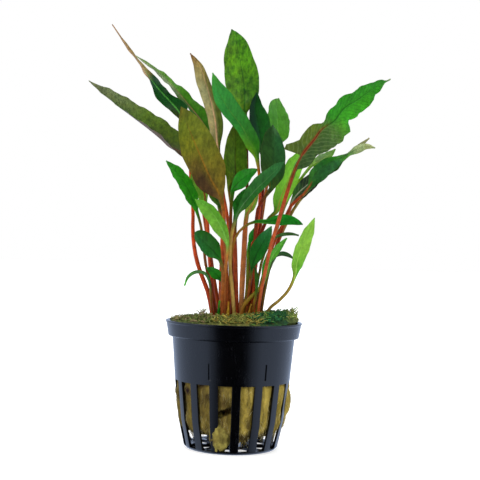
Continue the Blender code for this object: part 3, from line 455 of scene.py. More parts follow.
         (192, 168, -5.5, 0.5, 24)], 8),
    "leaf_olive_inner": ("olive", (-3.6, -1.6), [(221, 290, -3.5), (222.5, 250, -5.5), (222, 218, -7)],
        [(219.5, 206, -7.5, 1.4, -10), (216.5, 199, -8, 3.8, -20), (212, 191, -8.5, 3.4, -20),
         (207, 180, -9, 0.5, -20)], 8),
    "sprout_left": ("bright", (-6, -7.4), [(218.6, 311, -8.4)],
        [(218.8, 309, -8.6, 0.8, 0), (219, 305, -8.9, 1.4, 0), (219.6, 300.5, -9.2, 0.4, 0)], 0),
    "sprout_middle": ("straw", (-2, -9.2), [(228, 312, -9.8)],
        [(228.2, 310, -10, 0.8, 0), (228.4, 306, -10.2, 1.2, 0), (228.6, 301.5, -10.4, 0.4, 0)], 0),
    "sprout_right": ("straw", (5.6, -9.8), [(249, 313, -10.4)],
        [(249.4, 311.5, -10.6, 0.8, 0), (250, 308, -10.9, 1.2, 0), (251.4, 304, -11.2, 0.4, 0)], 0),
}

# Each leaf's looks: colours along its blade as (share, left, right), the colours of its midrib and its
# back, the colours of its stalk at foot and top, its midrib's width in mm and the shares of the half
# width where it lies at base and tip, how strongly veins show, and its margin's waves as (mm, count)
LOOKS = {
    "leaf_left_long": (
        [(0.0, "5a3a1c", "4a5c18"), (0.25, "44461a", "4c641a"), (0.5, "527428", "5a782c"),
         (0.65, "577a3a", "667a50"), (1.0, "7a7f70", "7c8474")],
        "7a4030", "5e4a32", ("b04a34", "b3442c"), 0.7, (-0.45, -0.1), 0.5, (0.3, 6)),
    "leaf_far_left": (
        [(0.0, "3a3a1c", "1c4a1c"), (0.2, "0a4812", "0c4a18"), (0.42, "084a10", "0a4214"),
         (0.46, "a08c74", "0c4a18"), (0.5, "b89c88", "84784c"), (0.62, "b89c88", "94885c"),
         (1.0, "a07458", "a8805c")],
        "4a9a44", "b09a80", ("a0482c", "8a4a34"), 0.7, (-0.1, 0.1), 0.25, (0.5, 4)),
    "leaf_wavy_back": (
        [(0.0, "2c4a14", "3c7018"), (0.3, "2a5a18", "40801e"), (0.5, "4c6a34", "44881e"),
         (0.62, "88a088", "5c9a40"), (1.0, "96a48c", "7c9c64")],
        "90685a", "7a9478", ("9a4a30", "8a4430"), 0.6, (-0.55, 0.0), 0.4, (0.6, 5)),
    "leaf_big_bronze": (
        [(0.0, "86663a", "7e682c"), (0.1, "553c22", "746424"), (0.28, "4c3622", "746a20"),
         (0.45, "685a24", "707020"), (0.6, "74761e", "6c7222"), (0.85, "6c7c22", "667422"),
         (1.0, "64561e", "5c5e1e")],
        "8c641e", "7a6a2c", ("a85840", "a8643c"), 0.9, (0.0, 0.0), 0.35, (0.15, 3)),
    "leaf_grey_pink": (
        [(0.0, "4a561c", "44561a"), (0.25, "aca080", "485a18"), (0.6, "a4a284", "6a6a38"),
         (0.85, "96865e", "8a7c50"), (1.0, "7a4a20", "6c4418")],
        "c49c8a", "a89a80", ("b0442c", "a8543c"), 0.8, (-0.1, 0.45), 0.3, (0.2, 3)),
    "leaf_bright_crossing": (
        [(0.0, "6a9c24", "3c7a1e"), (0.16, "5a9a24", "2c7a20"), (0.34, "2c8630", "2c7e2c"),
         (0.5, "2c8838", "2c8034"), (0.8, "38984a", "2e8c3c"), (1.0, "44a03c", "3a9030")],
        "4c8a34", "4c9050", ("a8503a", "c2482e"), 0.6, (-0.2, 0.0), 0.35, (0.3, 3)),
    "leaf_top_mottled": (
        [(0.0, "5a7420", "4a701c"), (0.2, "4c7e1c", "447c18"), (0.5, "528a14", "4c8812"),
         (0.8, "528814", "468614"), (1.0, "44801a", "3c781a")],
        "2e6414", "5a8a3c", ("b05a40", "4a1614"), 0.8, (0.0, 0.1), 0.35, (0.2, 3)),
    # Its left half is painted darker than its right, as shade
    "leaf_dark_upper": (
        [(0.0, "2a5a1e", "2a6a1e"), (0.35, "063e14", "0e6014"), (0.7, "022e08", "085a0e"),
         (1.0, "02320a", "06420c")],
        "0e4418", "3c6a40", ("7a2c1c", "6a2018"), 0.5, (-0.1, 0.0), 0.3, (0.15, 3)),
    # The light bluish grey at the right of its tip is a painted highlight
    "leaf_dark_centre": (
        [(0.0, "4a5420", "3a5420"), (0.25, "304c1e", "245028"), (0.5, "285222", "265a30"),
         (0.8, "224a20", "245a34"), (1.0, "284c28", "4a7458")],
        "24502a", "3c6a50", ("a44a2c", "5c1c14"), 0.6, (-0.2, 0.1), 0.3, (0.15, 3)),
    "leaf_back_right": (
        [(0.0, "5c8a44", "4c8c3a"), (0.3, "489022", "4c942a"), (0.6, "4c9438", "509a36"),
         (1.0, "5c9c48", "5aa044")],
        "6aa854", "6a9c54", ("9a4a2c", "8a5a2c"), 0.6, (0.0, 0.0), 0.3, (0.3, 3)),
    "leaf_olive_middle": (
        [(0.0, "627a24", "5a7824"), (0.3, "52761a", "4c7418"), (0.6, "547418", "4a7418"),
         (1.0, "566c1c", "4a6a1c")],
        "424812", "5c6c34", ("a45c40", "8a5c34"), 0.7, (0.1, 0.0), 0.8, (0.15, 3)),
    "leaf_green_middle": (
        [(0.0, "24881e", "1e801c"), (0.4, "248c22", "1a7e1e"), (1.0, "248424", "1c781e")],
        "1c5c1a", "3c7a3c", ("a84c34", "78381c"), 0.5, (0.0, 0.0), 0.4, (0.2, 2)),
    "leaf_green_lower": (
        [(0.0, "1a6420", "1a601c"), (0.4, "1e7420", "1c6a1e"), (1.0, "1e7020", "1a641c")],
        "1a5a1a", "3c7a3c", ("a84c38", "8a4028"), 0.5, (0.0, 0.0), 0.4, (0.2, 2)),
    "leaf_dark_front": (
        [(0.0, "2a6a30", "3c6a2c"), (0.3, "28682e", "28682a"), (0.6, "2a6632", "286630"),
         (1.0, "2a683e", "225e34")],
        "4c7a54", "4c7a5c", ("b09a78", "988454"), 0.5, (0.0, 0.2), 0.5, (0.2, 3)),
    "leaf_light_front": (
        [(0.0, "4c8022", "60a42c"), (0.3, "68ae2e", "72ba34"), (0.6, "70b834", "78c23c"),
         (1.0, "76c23c", "7eca44")],
        "8c8c34", "7ab050", ("b45034", "5c1c14"), 0.7, (0.1, 0.1), 0.3, (0.2, 3)),
    "leaf_right_large": (
        [(0.0, "4c6434", "3c5834"), (0.12, "4a6030", "365232"), (0.32, "586c22", "405e36"),
         (0.42, "3c7224", "4c7438"), (0.47, "2e8c20", "4a8a30"), (0.53, "2c8c1e", "3aa024"),
         (0.7, "2c8c1c", "389c1c"), (0.88, "2a8020", "2c8a1a"), (0.95, "2c7c24", "3a8430"),
         (1.0, "98a490", "98a490")],
        "8e3c22", "6a8a5c", ("b0604c", "903c28"), 1.35, (0.0, 0.0), 1.0, (0.6, 7)),
    "leaf_right_dark": (
        [(0.0, "3c7a2a", "246424"), (0.25, "2c6c38", "266434"), (0.45, "2c7c20", "2a6c3c"),
         (0.6, "4c7c44", "4c9a34"), (0.75, "a0b090", "90a480"), (1.0, "a4b094", "98a484")],
        "a85438", "7c9870", ("b04830", "8a3c24"), 0.7, (-0.5, 0.0), 0.3, (0.3, 4)),
    "leaf_right_forked": (
        [(0.0, "8aa47c", "849c74"), (0.5, "98aa84", "90a07c"), (1.0, "8c8468", "7a7458")],
        "a4b090", "98a88c", ("9a4c30", "7c8a5c"), 0.4, (0.0, 0.0), 0.2, (0.1, 2)),
    "leaf_small_pale": (
        [(0.0, "7ab038", "6aa02c"), (0.4, "84ac84", "5c8c30"), (0.7, "74a064", "6aa044"),
         (1.0, "74a84c", "6aa040")],
        "90b070", "8cac7c", ("9a5030", "60a428"), 0.4, (0.0, 0.0), 0.3, (0.3, 3)),
    "leaf_dark_behind": (
        [(0.0, "3a7a2a", "2a4a30"), (0.3, "30463a", "1c2c20"), (0.6, "2c442e", "223a26"),
         (0.8, "2c7c24", "2c6c24"), (1.0, "2e8c22", "2c7c22")],
        "98a49c", "5c6c5c", ("a84830", "a04a30"), 0.6, (-0.2, 0.2), 0.9, (0.3, 4)),
    "leaf_left_bright": (
        [(0.0, "2c841c", "267e1a"), (0.3, "38a420", "2c921c"), (0.7, "3cb026", "309c1e"),
         (1.0, "44a840", "38982a")],
        "1e7818", "4c9a3c", ("8a3c28", "5c4a20"), 0.5, (0.1, 0.1), 0.4, (0.25, 4)),
    "leaf_left_light": (
        [(0.0, "78a84c", "6c9e3a"), (0.3, "6caa42", "5e9e36"), (0.7, "68aa3e", "589c32"),
         (1.0, "60a83c", "549c36")],
        "74b458", "7aac5c", ("a8644c", "a87048"), 0.5, (0.1, 0.1), 0.35, (0.2, 3)),
    "leaf_left_oval": (
        [(0.0, "1e6a1e", "1c641e"), (0.4, "246c30", "1c5c1a"), (0.8, "2c7444", "1e641e"),
         (1.0, "3c7c50", "28703a")],
        "184c16", "4a7a50", ("a05440", "7c5430"), 0.5, (0.0, 0.0), 0.35, (0.15, 3)),
    "leaf_left_small": (
        [(0.0, "1c6a1a", "1e701c"), (0.5, "20781e", "248028"), (1.0, "2a7a30", "2c7c3a")],
        "185c18", "4a7a50", ("a05c44", "6c5428"), 0.4, (0.0, 0.0), 0.3, (0.15, 2)),
    "leaf_left_strap": (
        [(0.0, "3c7c44", "3c7c44"), (0.5, "54845c", "4c8050"), (1.0, "48b024", "48b024")],
        "5c9060", "4c8050", ("a05444", "6c6434"), 0.2, (0.0, 0.0), 0.1, (0.0, 1)),
    "leaf_right_strap": (
        [(0.0, "7c9c3c", "4c9c2c"), (0.2, "74b43c", "6cb43c"), (0.5, "84c048", "88c04c"),
         (1.0, "80bc48", "84c050")],
        "94c85c", "8cbc5c", ("a8906c", "8c8038"), 0.5, (0.0, 0.0), 0.25, (0.2, 3)),
    "leaf_level_dark": (
        [(0.0, "2c6c1c", "3c7a24"), (0.4, "1e8428", "1a7822"), (0.8, "1a8426", "16741e"),
         (1.0, "1a7824", "187020")],
        "125c18", "3c7c3c", ("a45838", "7c6828"), 0.5, (0.0, 0.0), 0.3, (0.15, 2)),
    "leaf_right_small": (
        [(0.0, "5cac3c", "54a434"), (0.5, "58a848", "4ca434"), (1.0, "50a43c", "48a034")],
        "74b85c", "6cac54", ("9a4a30", "4c8c2c"), 0.4, (0.0, 0.0), 0.25, (0.15, 2)),
    "leaf_thin_upper": (
        [(0.0, "4c7c44", "4c7c44"), (1.0, "4c7850", "48744c")],
        "5c8c5c", "4c7850", ("94482c", "5c7c3c"), 0.2, (0.0, 0.0), 0.1, (0.0, 1)),
    "leaf_thin_lower": (
        [(0.0, "3c7048", "406c4c"), (1.0, "3c6848", "3c6448")],
        "5c8c64", "3c6848", ("8c4a2c", "4c7040"), 0.2, (0.0, 0.0), 0.2, (0.0, 1)),
    "leaf_front_oval": (
        [(0.0, "1c6a20", "1a601c"), (0.4, "105c18", "106018"), (0.75, "20703c", "1c6a34"),
         (1.0, "3c7c58", "34744c")],
        "0c4a14", "4a7a50", ("a05038", "744c28"), 0.5, (0.0, 0.0), 0.35, (0.15, 3)),
    "leaf_middle_small": (
        [(0.0, "28942a", "1e7c20"), (1.0, "2c8c3c", "24842c")],
        "1c6c1c", "4c8c4c", ("945a38", "44842c"), 0.4, (0.0, 0.0), 0.3, (0.1, 2)),
    "leaf_narrow_bright": (
        [(0.0, "44b028", "3ca82a"), (1.0, "3ca43a", "38a034")],
        "54b83c", "54a848", ("94603c", "54a02c"), 0.3, (0.0, 0.0), 0.2, (0.0, 1)),
    "leaf_dark_spear": (
        [(0.0, "2c5c1c", "2c5a1c"), (1.0, "285420", "2c5a24")],
        "34641e", "3c6430", ("9c5034", "4c5a20"), 0.3, (0.0, 0.0), 0.2, (0.0, 1)),
    "leaf_yellow_middle": (
        [(0.0, "98b44a", "88a840"), (0.5, "a0bc50", "88b044"), (1.0, "7cac44", "70a43c")],
        "d08c5c", "8ca054", ("dca488", "c06a50"), 0.7, (0.3, 0.0), 0.25, (0.1, 2)),
    # Its tints are painted lighter to lift the shade that falls on it
    "leaf_light_inner": (
        [(0.0, "80c044", "84b848"), (0.5, "80c848", "84bc44"), (1.0, "8ccc54", "80bc44")],
        "b4503c", "84b060", ("b84c38", "c0563c"), 0.8, (0.4, 0.2), 0.25, (0.15, 3)),
    "leaf_olive_inner": (
        [(0.0, "3c6a1c", "34601c"), (0.5, "3c641c", "34581a"), (1.0, "3a5c1a", "30501a")],
        "2c4a14", "4c643c", ("a8604c", "c05238"), 0.5, (0.0, 0.0), 0.3, (0.15, 2)),
    "sprout_left": (
        [(0.0, "1a6414", "1a6414"), (1.0, "349c2c", "349c2c")],
        "34842c", "34842c", ("2c5c1c", "1c6418"), 0.2, (0.0, 0.0), 0.1, (0.0, 1)),
    "sprout_middle": (
        [(0.0, "a07c30", "8c6c28"), (1.0, "c8882c", "b87820")],
        "d8b044", "c09a34", ("a08034", "b8942c"), 0.2, (0.0, 0.0), 0.1, (0.0, 1)),
    "sprout_right": (
        [(0.0, "806428", "785c24"), (1.0, "a0782c", "906824")],
        "b89034", "a8842c", ("8c6c2c", "a07c28"), 0.2, (0.0, 0.0), 0.1, (0.0, 1)),
}

# Extra width in mm that a margin bulges (+) or is notched (-) by: side, place along the blade, length, mm
LOBES = {
    "leaf_right_large":
        [(-1, 0.04, 0.06, -5.0), (-1, 0.115, 0.05, -10.5), (-1, 0.18, 0.02, 3.0), (-1, 0.185, 0.03, 1.3),
         (-1, 0.235, 0.012, -0.6), (-1, 0.29, 0.02, 0.4), (-1, 0.385, 0.035, -1.9), (-1, 0.45, 0.03, -0.8),
         (-1, 0.6, 0.04, 0.6), (-1, 0.87, 0.04, -0.5), (-1, 0.97, 0.03, -1.5), (1, 0.01, 0.04, -2.5),
         (1, 0.2, 0.03, -0.7), (1, 0.29, 0.03, 0.9), (1, 0.36, 0.03, 1.0), (1, 0.42, 0.03, 1.9),
         (1, 0.455, 0.012, -0.4), (1, 0.485, 0.02, 1.1), (1, 0.545, 0.025, -1.4), (1, 0.71, 0.04, 1.0),
         (1, 0.79, 0.03, 0.4), (1, 0.95, 0.04, -1.4)],
    "leaf_left_long":
        [(-1, 0.3, 0.22, -1.1), (1, 0.1, 0.05, -0.4), (1, 0.2, 0.05, 0.6), (1, 0.3, 0.04, -0.4),
         (1, 0.4, 0.05, 0.3), (1, 0.9, 0.06, -0.8)],
    "leaf_grey_pink": [(-1, 0.42, 0.24, -1.8), (1, 0.3, 0.15, 0.5)],
    "leaf_green_middle": [(1, 0.3, 0.25, 1.0)],
    "leaf_big_bronze": [(-1, 0.6, 0.25, 0.6), (1, 0.35, 0.2, 0.8)],
    "leaf_top_mottled": [(1, 0.3, 0.2, 0.5)],
    "sprout_left": [(-1, 0.5, 0.5, -0.35), (1, 0.5, 0.5, -0.35)],
    "sprout_middle": [(-1, 0.5, 0.5, -0.2), (1, 0.5, 0.5, -0.2)],
    "sprout_right": [(-1, 0.5, 0.5, -0.2), (1, 0.5, 0.5, -0.2)],
    "leaf_dark_front": [(-1, 0.2, 0.14, -1.3), (1, 0.1, 0.1, -0.6)],
    "leaf_wavy_back": [(1, 0.12, 0.05, 0.5), (1, 0.32, 0.05, 0.4), (-1, 0.6, 0.08, 0.4)],
    "leaf_far_left":
        [(-1, 0.3, 0.07, 0.6), (-1, 0.43, 0.03, -0.5), (1, 0.1, 0.05, 1.5), (1, 0.25, 0.07, -1.7),
         (1, 0.43, 0.05, 1.8)],
}

# How far in mm a margin is swept back towards the base: side, place along the blade, length, mm
SWEEPS = {"leaf_right_large": [(-1, 0.17, 0.07, 4.2)]}

# How far in mm a midrib lies to the left (-) or right (+) of its line: place along the blade, length, mm
RIB_SHIFTS = {"leaf_right_large": [(0.37, 0.09, -1.7), (0.57, 0.1, -1.0)]}


def limited(value, most=1.0):
    """A value kept between 0 and a limit."""
    return min(max(value, 0.0), most)


def ramp(value, start, end):
    """How far a value lies on its way from start to end, from 0 to 1."""
    return limited((value - start) / (end - start))


def around(radius, angle):
    """The x and y at a distance from the pot's axis and an angle about it."""
    return radius * math.cos(angle), radius * math.sin(angle)


def rough(x, y, z, size, octaves=3):
    """Smooth noise from -1 to 1 that changes over a size in millimetres."""
    return noise.fractal(Vector((x, y, z)) / size, 0.9, 2.0, octaves)


def linear(hex_colour):
    """A linear colour from six hex digits, by the sRGB curve."""
    values = [int(hex_colour[i:i + 2], 16) / 255 for i in (0, 2, 4)]
    return np.array([v / 12.92 if v <= 0.04045 else ((v + 0.055) / 1.055) ** 2.4 for v in values])


def add(tree, kind, inputs=None, **properties):
    """A shader node, its properties set and its inputs set or linked."""
    made = tree.nodes.new("ShaderNode" + kind)
    for name, value in properties.items():
        setattr(made, name, value)
    for name, value in (inputs or {}).items():
        if isinstance(value, bpy.types.NodeSocket):
            tree.links.new(value, made.inputs[name])
        else:
            made.inputs[name].default_value = value
    return made


def maths(tree, operation, first, second=0.0, clamp=False):
    return add(tree, "Math", {0: first, 1: second}, operation=operation, use_clamp=clamp).outputs[0]


def times(tree, first, second, clamp=False):
    return maths(tree, "MULTIPLY", first, second, clamp)


def plus(tree, first, second):
    return maths(tree, "ADD", first, second)


def stretch(tree, value, low, high, new_low=0.0, new_high=1.0):
    """A value mapped from one range to another."""
    return add(tree, "MapRange", {"Value": value, "From Min": low, "From Max": high, "To Min": new_low,
                                  "To Max": new_high}).outputs[0]


def spread(tree, noise_out, low, high, reach=0.2):
    """A noise mapped from its usual range, this far about its middle, to low and high."""
    return stretch(tree, noise_out, 0.5 - reach, 0.5 + reach, low, high)


def mixed(tree, factor, first, second, blend="MIX"):
    """Two colours mixed by a factor."""
    return add(tree, "Mix", {0: factor, 6: first, 7: second}, data_type="RGBA", blend_type=blend).outputs[2]


def filtered(tree, strength, colour, factors):
    """A colour multiplied by a factor in red, green and blue, as far as a strength from 0 to 1 says."""
    return mixed(tree, strength, colour, mixed(tree, 1.0, colour, (*factors, 1.0), "MULTIPLY"))


def dimmed(tree, colour, shade):
    return add(tree, "VectorMath", {0: colour, "Scale": shade}, operation="SCALE").outputs[0]


def scaled_place(tree, factors=(1.0, 1.0, 1.0)):
    """Object coordinates stretched by a factor on each axis."""
    place = add(tree, "TexCoord").outputs["Object"]
    return add(tree, "Mapping", {"Vector": place, "Scale": factors}).outputs[0]


def noise_value(tree, place, scale, detail=3.0, roughness=0.55, distortion=0.0):
    return add(tree, "TexNoise", {"Vector": place, "Scale": scale, "Detail": detail, "Roughness": roughness,
                                  "Distortion": distortion}).outputs["Fac"]


def bumped(tree, shader, height, distance, strength):
    bump = add(tree, "Bump", {"Height": height, "Distance": distance, "Strength": strength})
    tree.links.new(bump.outputs[0], shader.inputs["Normal"])


def new_material(name):
    material = bpy.data.materials.new(name)
    material.use_nodes = True
    return material, material.node_tree, material.node_tree.nodes["Principled BSDF"]


def new_object(name, data):
    made = bpy.data.objects.new(name, data)
    bpy.context.scene.collection.objects.link(made)
    return made


def add_piece(name, points, faces, material, nodes, colours=None, vectors=None, sharp=60.0):
    """A smooth piece from points in millimetres, riding on the plant and standing for its solids."""
    mesh = bpy.data.meshes.new(name)
    mesh.from_pydata((np.asarray(points) * MM).tolist(), [], faces)
    mesh.update()
    mesh.materials.append(material)
    mesh.shade_smooth()
    mesh.set_sharp_from_angle(angle=math.radians(sharp))
    if colours is not None:
        layer = mesh.attributes.new("tint", "FLOAT_COLOR", "POINT")
        layer.data.foreach_set("color", np.column_stack([colours, np.ones(len(points))]).ravel())
    if vectors is not None:
        layer = mesh.attributes.new("leaf_mm", "FLOAT_VECTOR", "POINT")
        layer.data.foreach_set("vector", vectors.ravel())
    piece = new_object(name, mesh)
    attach(piece, "root")
    if nodes:
        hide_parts(*nodes)
    return piece


def grid_faces(rows, count, start=0):
    """Quads between closed rings of count points."""
    faces = []
    for low in range(start, start + (rows - 1) * count, count):
        high = low + count
        faces += [(low + i, low + (i + 1) % count, high + (i + 1) % count, high + i) for i in range(count)]
    return faces


def capped_faces(rows, count, first_tip, last_tip):
    """Quads between closed rings of count points, and triangles from each end's ring to its tip."""
    faces = grid_faces(rows, count)
    last = (rows - 1) * count
    for i in range(count):
        j = (i + 1) % count
        faces += [(j, i, first_tip), (last + i, last + j, last_tip)]
    return faces


def seen_at(column, row, depth):
    """The place in millimetres at a depth that the view shows at a column and row."""
    right = column - VIEW_SIZE / 2
    up = VIEW_SIZE / 2 - row
    level = right * math.cos(VIEW_ROLL) - up * math.sin(VIEW_ROLL)
    rise = right * math.sin(VIEW_ROLL) + up * math.cos(VIEW_ROLL)
    ahead = VIEW_FOCAL * math.cos(VIEW_PITCH) - rise * math.sin(VIEW_PITCH)
    above = VIEW_FOCAL * math.sin(VIEW_PITCH) + rise * math.cos(VIEW_PITCH)
    per_pixel = (depth - VIEW_EYE.y) / ahead
    return (VIEW_EYE.x + level * per_pixel, depth, VIEW_EYE.z + above * per_pixel)


def placed(column, row, depth):
    """A leaf station's place, with its depth fanned out the higher it stands."""
    return seen_at(column, row, depth * (1 + FAN * ramp(row, FAN_ROW, FAN_ROW - FAN_ROWS)))


def lengths(points):
    """Distance along a line of points from its start to each of them."""
    return np.concatenate([[0.0], np.cumsum(np.linalg.norm(np.diff(points[:, :3], axis=0), axis=1))])


def smooth_through(points, at, reach=None):
    """Values at distances along the smooth curve through rows of points (x, y, z, more...)."""
    reach = lengths(points) if reach is None else reach
    slope = np.gradient(points, reach, axis=0)
    i = np.clip(np.searchsorted(reach, at, side="right") - 1, 0, len(reach) - 2)
    span = (reach[i + 1] - reach[i])[:, None]
    t = (at - reach[i])[:, None] / span
    return ((2 * t ** 3 - 3 * t ** 2 + 1) * points[i] + (t ** 3 - 2 * t ** 2 + t) * span * slope[i]
            + (3 * t ** 2 - 2 * t ** 3) * points[i + 1] + (t ** 3 - t ** 2) * span * slope[i + 1])


def solid_counts(leaf):
    return LONG_LEAF if len(leaf[2]) + len(leaf[3]) > LONG_LEAF_STATIONS else SHORT_LEAF


def leaf_sections(leaf, counts):
    """Sections of one leaf from root to tip: rows of x, y, z, width, turn and how far along the blade."""
    root, stalk, blade = leaf[1:4]
    turn = blade[0][4]
    stalk_width = 2 * STALK_R * (SLIM_STALK if len(stalk) < SLIM_STALK_STATIONS else 1.0)
    rows = [(*root, ROOT_Z, stalk_width, turn)]
    rows += [(*placed(*station), stalk_width, turn) for station in stalk]
    base = len(rows)
    rows += [(*placed(*station[:3]), *station[3:]) for station in blade]
    points = np.array(rows, float)
    reach = lengths(points)
    stalk_count, blade_count = counts
    at = np.concatenate([np.linspace(0.0, reach[base], stalk_count + 1)[:-1],
                         np.linspace(reach[base], reach[-1], blade_count)])
    sections = smooth_through(points, at)
    along = np.clip((at - reach[base]) / (reach[-1] - reach[base]), 0.0, 1.0)
    sections[:, 3] = np.maximum(sections[:, 3] / np.cos(np.radians(sections[:, 4])), 2 * TIP_HALF)
    sections[:stalk_count, 3] = stalk_width
    return np.column_stack([sections, along]), at


def section_frames(sections):
    """Each section's direction across the blade and the direction that its face looks in."""
    centres = sections[:, :3]
    heading = np.gradient(centres, axis=0)
    heading /= np.linalg.norm(heading, axis=1)[:, None]
    toward = np.array(VIEW_EYE) - centres
    toward -= heading * np.sum(toward * heading, axis=1)[:, None]
    toward /= np.linalg.norm(toward, axis=1)[:, None]
    across = np.cross(heading, toward)
    turn = np.radians(sections[:, 4])[:, None]
    return across * np.cos(turn) - toward * np.sin(turn), toward * np.cos(turn) + across * np.sin(turn)


def solid_surface(sections, fold, swell):
    """Points and faces of one leaf's solid, thickened all round by swell."""
    side, face = section_frames(sections)
    along = sections[:, 5]
    blend = np.clip(along * FLATTEN_RATE, 0.0, 1.0)
    half_width = sections[:, 3] / 2
    stalk_half = half_width[0]
    thick = stalk_half + (BLADE_HALF - stalk_half) * blend
    thick += (TIP_HALF - thick) * along ** TIP_POWER
    lift = math.tan(math.radians(fold)) * blend
    points = []
    for k in range(len(sections)):
        for corner in range(RING):
            angle = -2 * math.pi * corner / RING
            out = (half_width[k] + swell) * math.cos(angle)
            up = (thick[k] + swell) * math.sin(angle) + lift[k] * (abs(out) - half_width[k] * FOLD_LEVEL)
            points.append(tuple(sections[k, :3] + side[k] * out + face[k] * up))
    return points, grid_faces(len(sections), RING)


def shift_depth(sections, amount):
    """Sections moved in depth along their sight lines; the root keeps its height."""
    moved = sections.copy()
    eye = np.array(VIEW_EYE)
    offset = sections[:, :3] - eye
    moved[:, :3] = eye + offset * (1 + amount / offset[:, 1])[:, None]
    moved[0, [0, 2]] = sections[0, [0, 2]]
    return moved


def ease_apart(leaves):
    """Push leaves that touch apart in depth until each clears the rest, as their solids are."""
    names = list(leaves)
    sections = {name: leaf_sections(leaves[name], solid_counts(leaves[name]))[0] for name in names}
    order = {}
    trees = {}
    touches = {}
    moved = set(names)
    for _ in range(EASE_ROUNDS):
        for name in moved:
            trees[name] = BVHTree.FromPolygons(*solid_surface(sections[name], leaves[name][4], CLEARANCE))
        push = {}
        for i, first in enumerate(names):
            for second in names[i + 1:]:
                pair = (first, second)
                if first in moved or second in moved:
                    touches[pair] = trees[first].overlap(trees[second])
                if not touches[pair]:
                    continue
                bands = [sorted({hit[side] // RING for hit in touches[pair]}) for side in (0, 1)]
                if pair not in order:
                    depth = [np.mean([sections[name][band:band + 2, 1].mean() for band in found])
                             for name, found in zip(pair, bands)]
                    order[pair] = 1.0 if depth[0] > depth[1] else -1.0
                for name, found, sign in zip(pair, bands, (1.0, -1.0)):
                    from_bands = np.arange(len(sections[name])) - np.array(found)[:, None] - 0.5
                    reach = np.exp(-(from_bands / EASE_SPREAD) ** 2).max(axis=0)
                    push[name] = push.get(name, 0.0) + sign * order[pair] * EASE_STEP * reach
        if not push:
            break
        for name, amount in push.items():
            sections[name] = shift_depth(sections[name], np.clip(amount, -EASE_MOST, EASE_MOST))
        moved = set(push)
    return sections


def wall_radius(z):
    """The wall's outer radius at a height."""
    return float(np.interp(z, [CORNER, WAIST_Z, WINDOW_TOP_Z, COLLAR_FOOT_Z, RIM_Z],
                           [BASE_R, WAIST_R, WINDOW_TOP_R, BODY_R, COLLAR_R]))


def pot_rows():
    """Rows down the pot's wall and into its floor: outer radius and height, inner radius and height."""
    shoulder_z = RIM_Z - LIP - SOFT
    rows = [(RIM_R, RIM_Z, RIM_R - LIP - WALL, RIM_Z),
            (RIM_R, RIM_Z - LIP, RIM_R - LIP - WALL - 0.05, RIM_Z - LIP),
            (COLLAR_R, shoulder_z, COLLAR_R - WALL - 0.5, shoulder_z),
            (COLLAR_FOOT_R, COLLAR_FOOT_Z + SOFT, COLLAR_FOOT_R - WALL - 0.1, COLLAR_FOOT_Z + LIP),
            (COLLAR_FOOT_R - SOFT, COLLAR_FOOT_Z, BODY_R - WALL + 0.4, COLLAR_FOOT_Z + 0.2),
            (BODY_R, COLLAR_FOOT_Z - SOFT, BODY_R - WALL, COLLAR_FOOT_Z - 0.4)]
    rows += [(wall_radius(z), z, wall_radius(z) - WALL, z) for z in WALL_ROWS_Z]
    rows += [(BASE_R - out, z, BASE_R - inside, inside_z) for out, z, inside, inside_z in CORNER_ROWS]
    return rows + [(radius, 0.0, radius, FLOOR) for radius in FLOOR_RINGS_R]


def pot_angles(radius, in_floor, with_slits):
    """Angles of a row's points: on the ribs' edges in the wall, or on the spokes' edges in the floor."""
    wide = 2 if in_floor else 1
    pitch = 2 * math.pi / RIBS * wide
    edge = math.asin((SPOKE_WIDTH if in_floor else RIB_WIDTH) / 2 / max(radius, HUB_R))
    window = np.linspace(edge, pitch - edge, PITCH_COLUMNS * wide - RIB_COLUMNS)
    first = FRONT + math.radians(FIRST_RIB_DEG)
    angles = [first + k * pitch + angle for k in range(RIBS // wide)
              for angle in (0.0, edge / 2, *window, pitch - edge / 2)]
    if with_slits:
        half = SLIT_WIDTH / 2 / radius
        for column, angle in slit_columns():
            angle += 2 * math.pi * round((angles[column] - angle) / (2 * math.pi))
            angles[column] = angle - half
            angles[column + 1] = angle + half
    return angles


def slit_columns():
    """The column of the wall at each slit's left edge, and the slit's angle."""
    plain = np.array(pot_angles(BODY_R, False, False))
    found = []
    for degrees in SLIT_DEGREES:
        angle = FRONT + math.radians(degrees)
        off = np.angle(np.exp(1j * (plain - angle)))
        nearest = int(np.argmin(np.abs(off)))
        found.append((nearest if off[nearest] < 0 else (nearest - 1) % len(plain), angle))
    return found


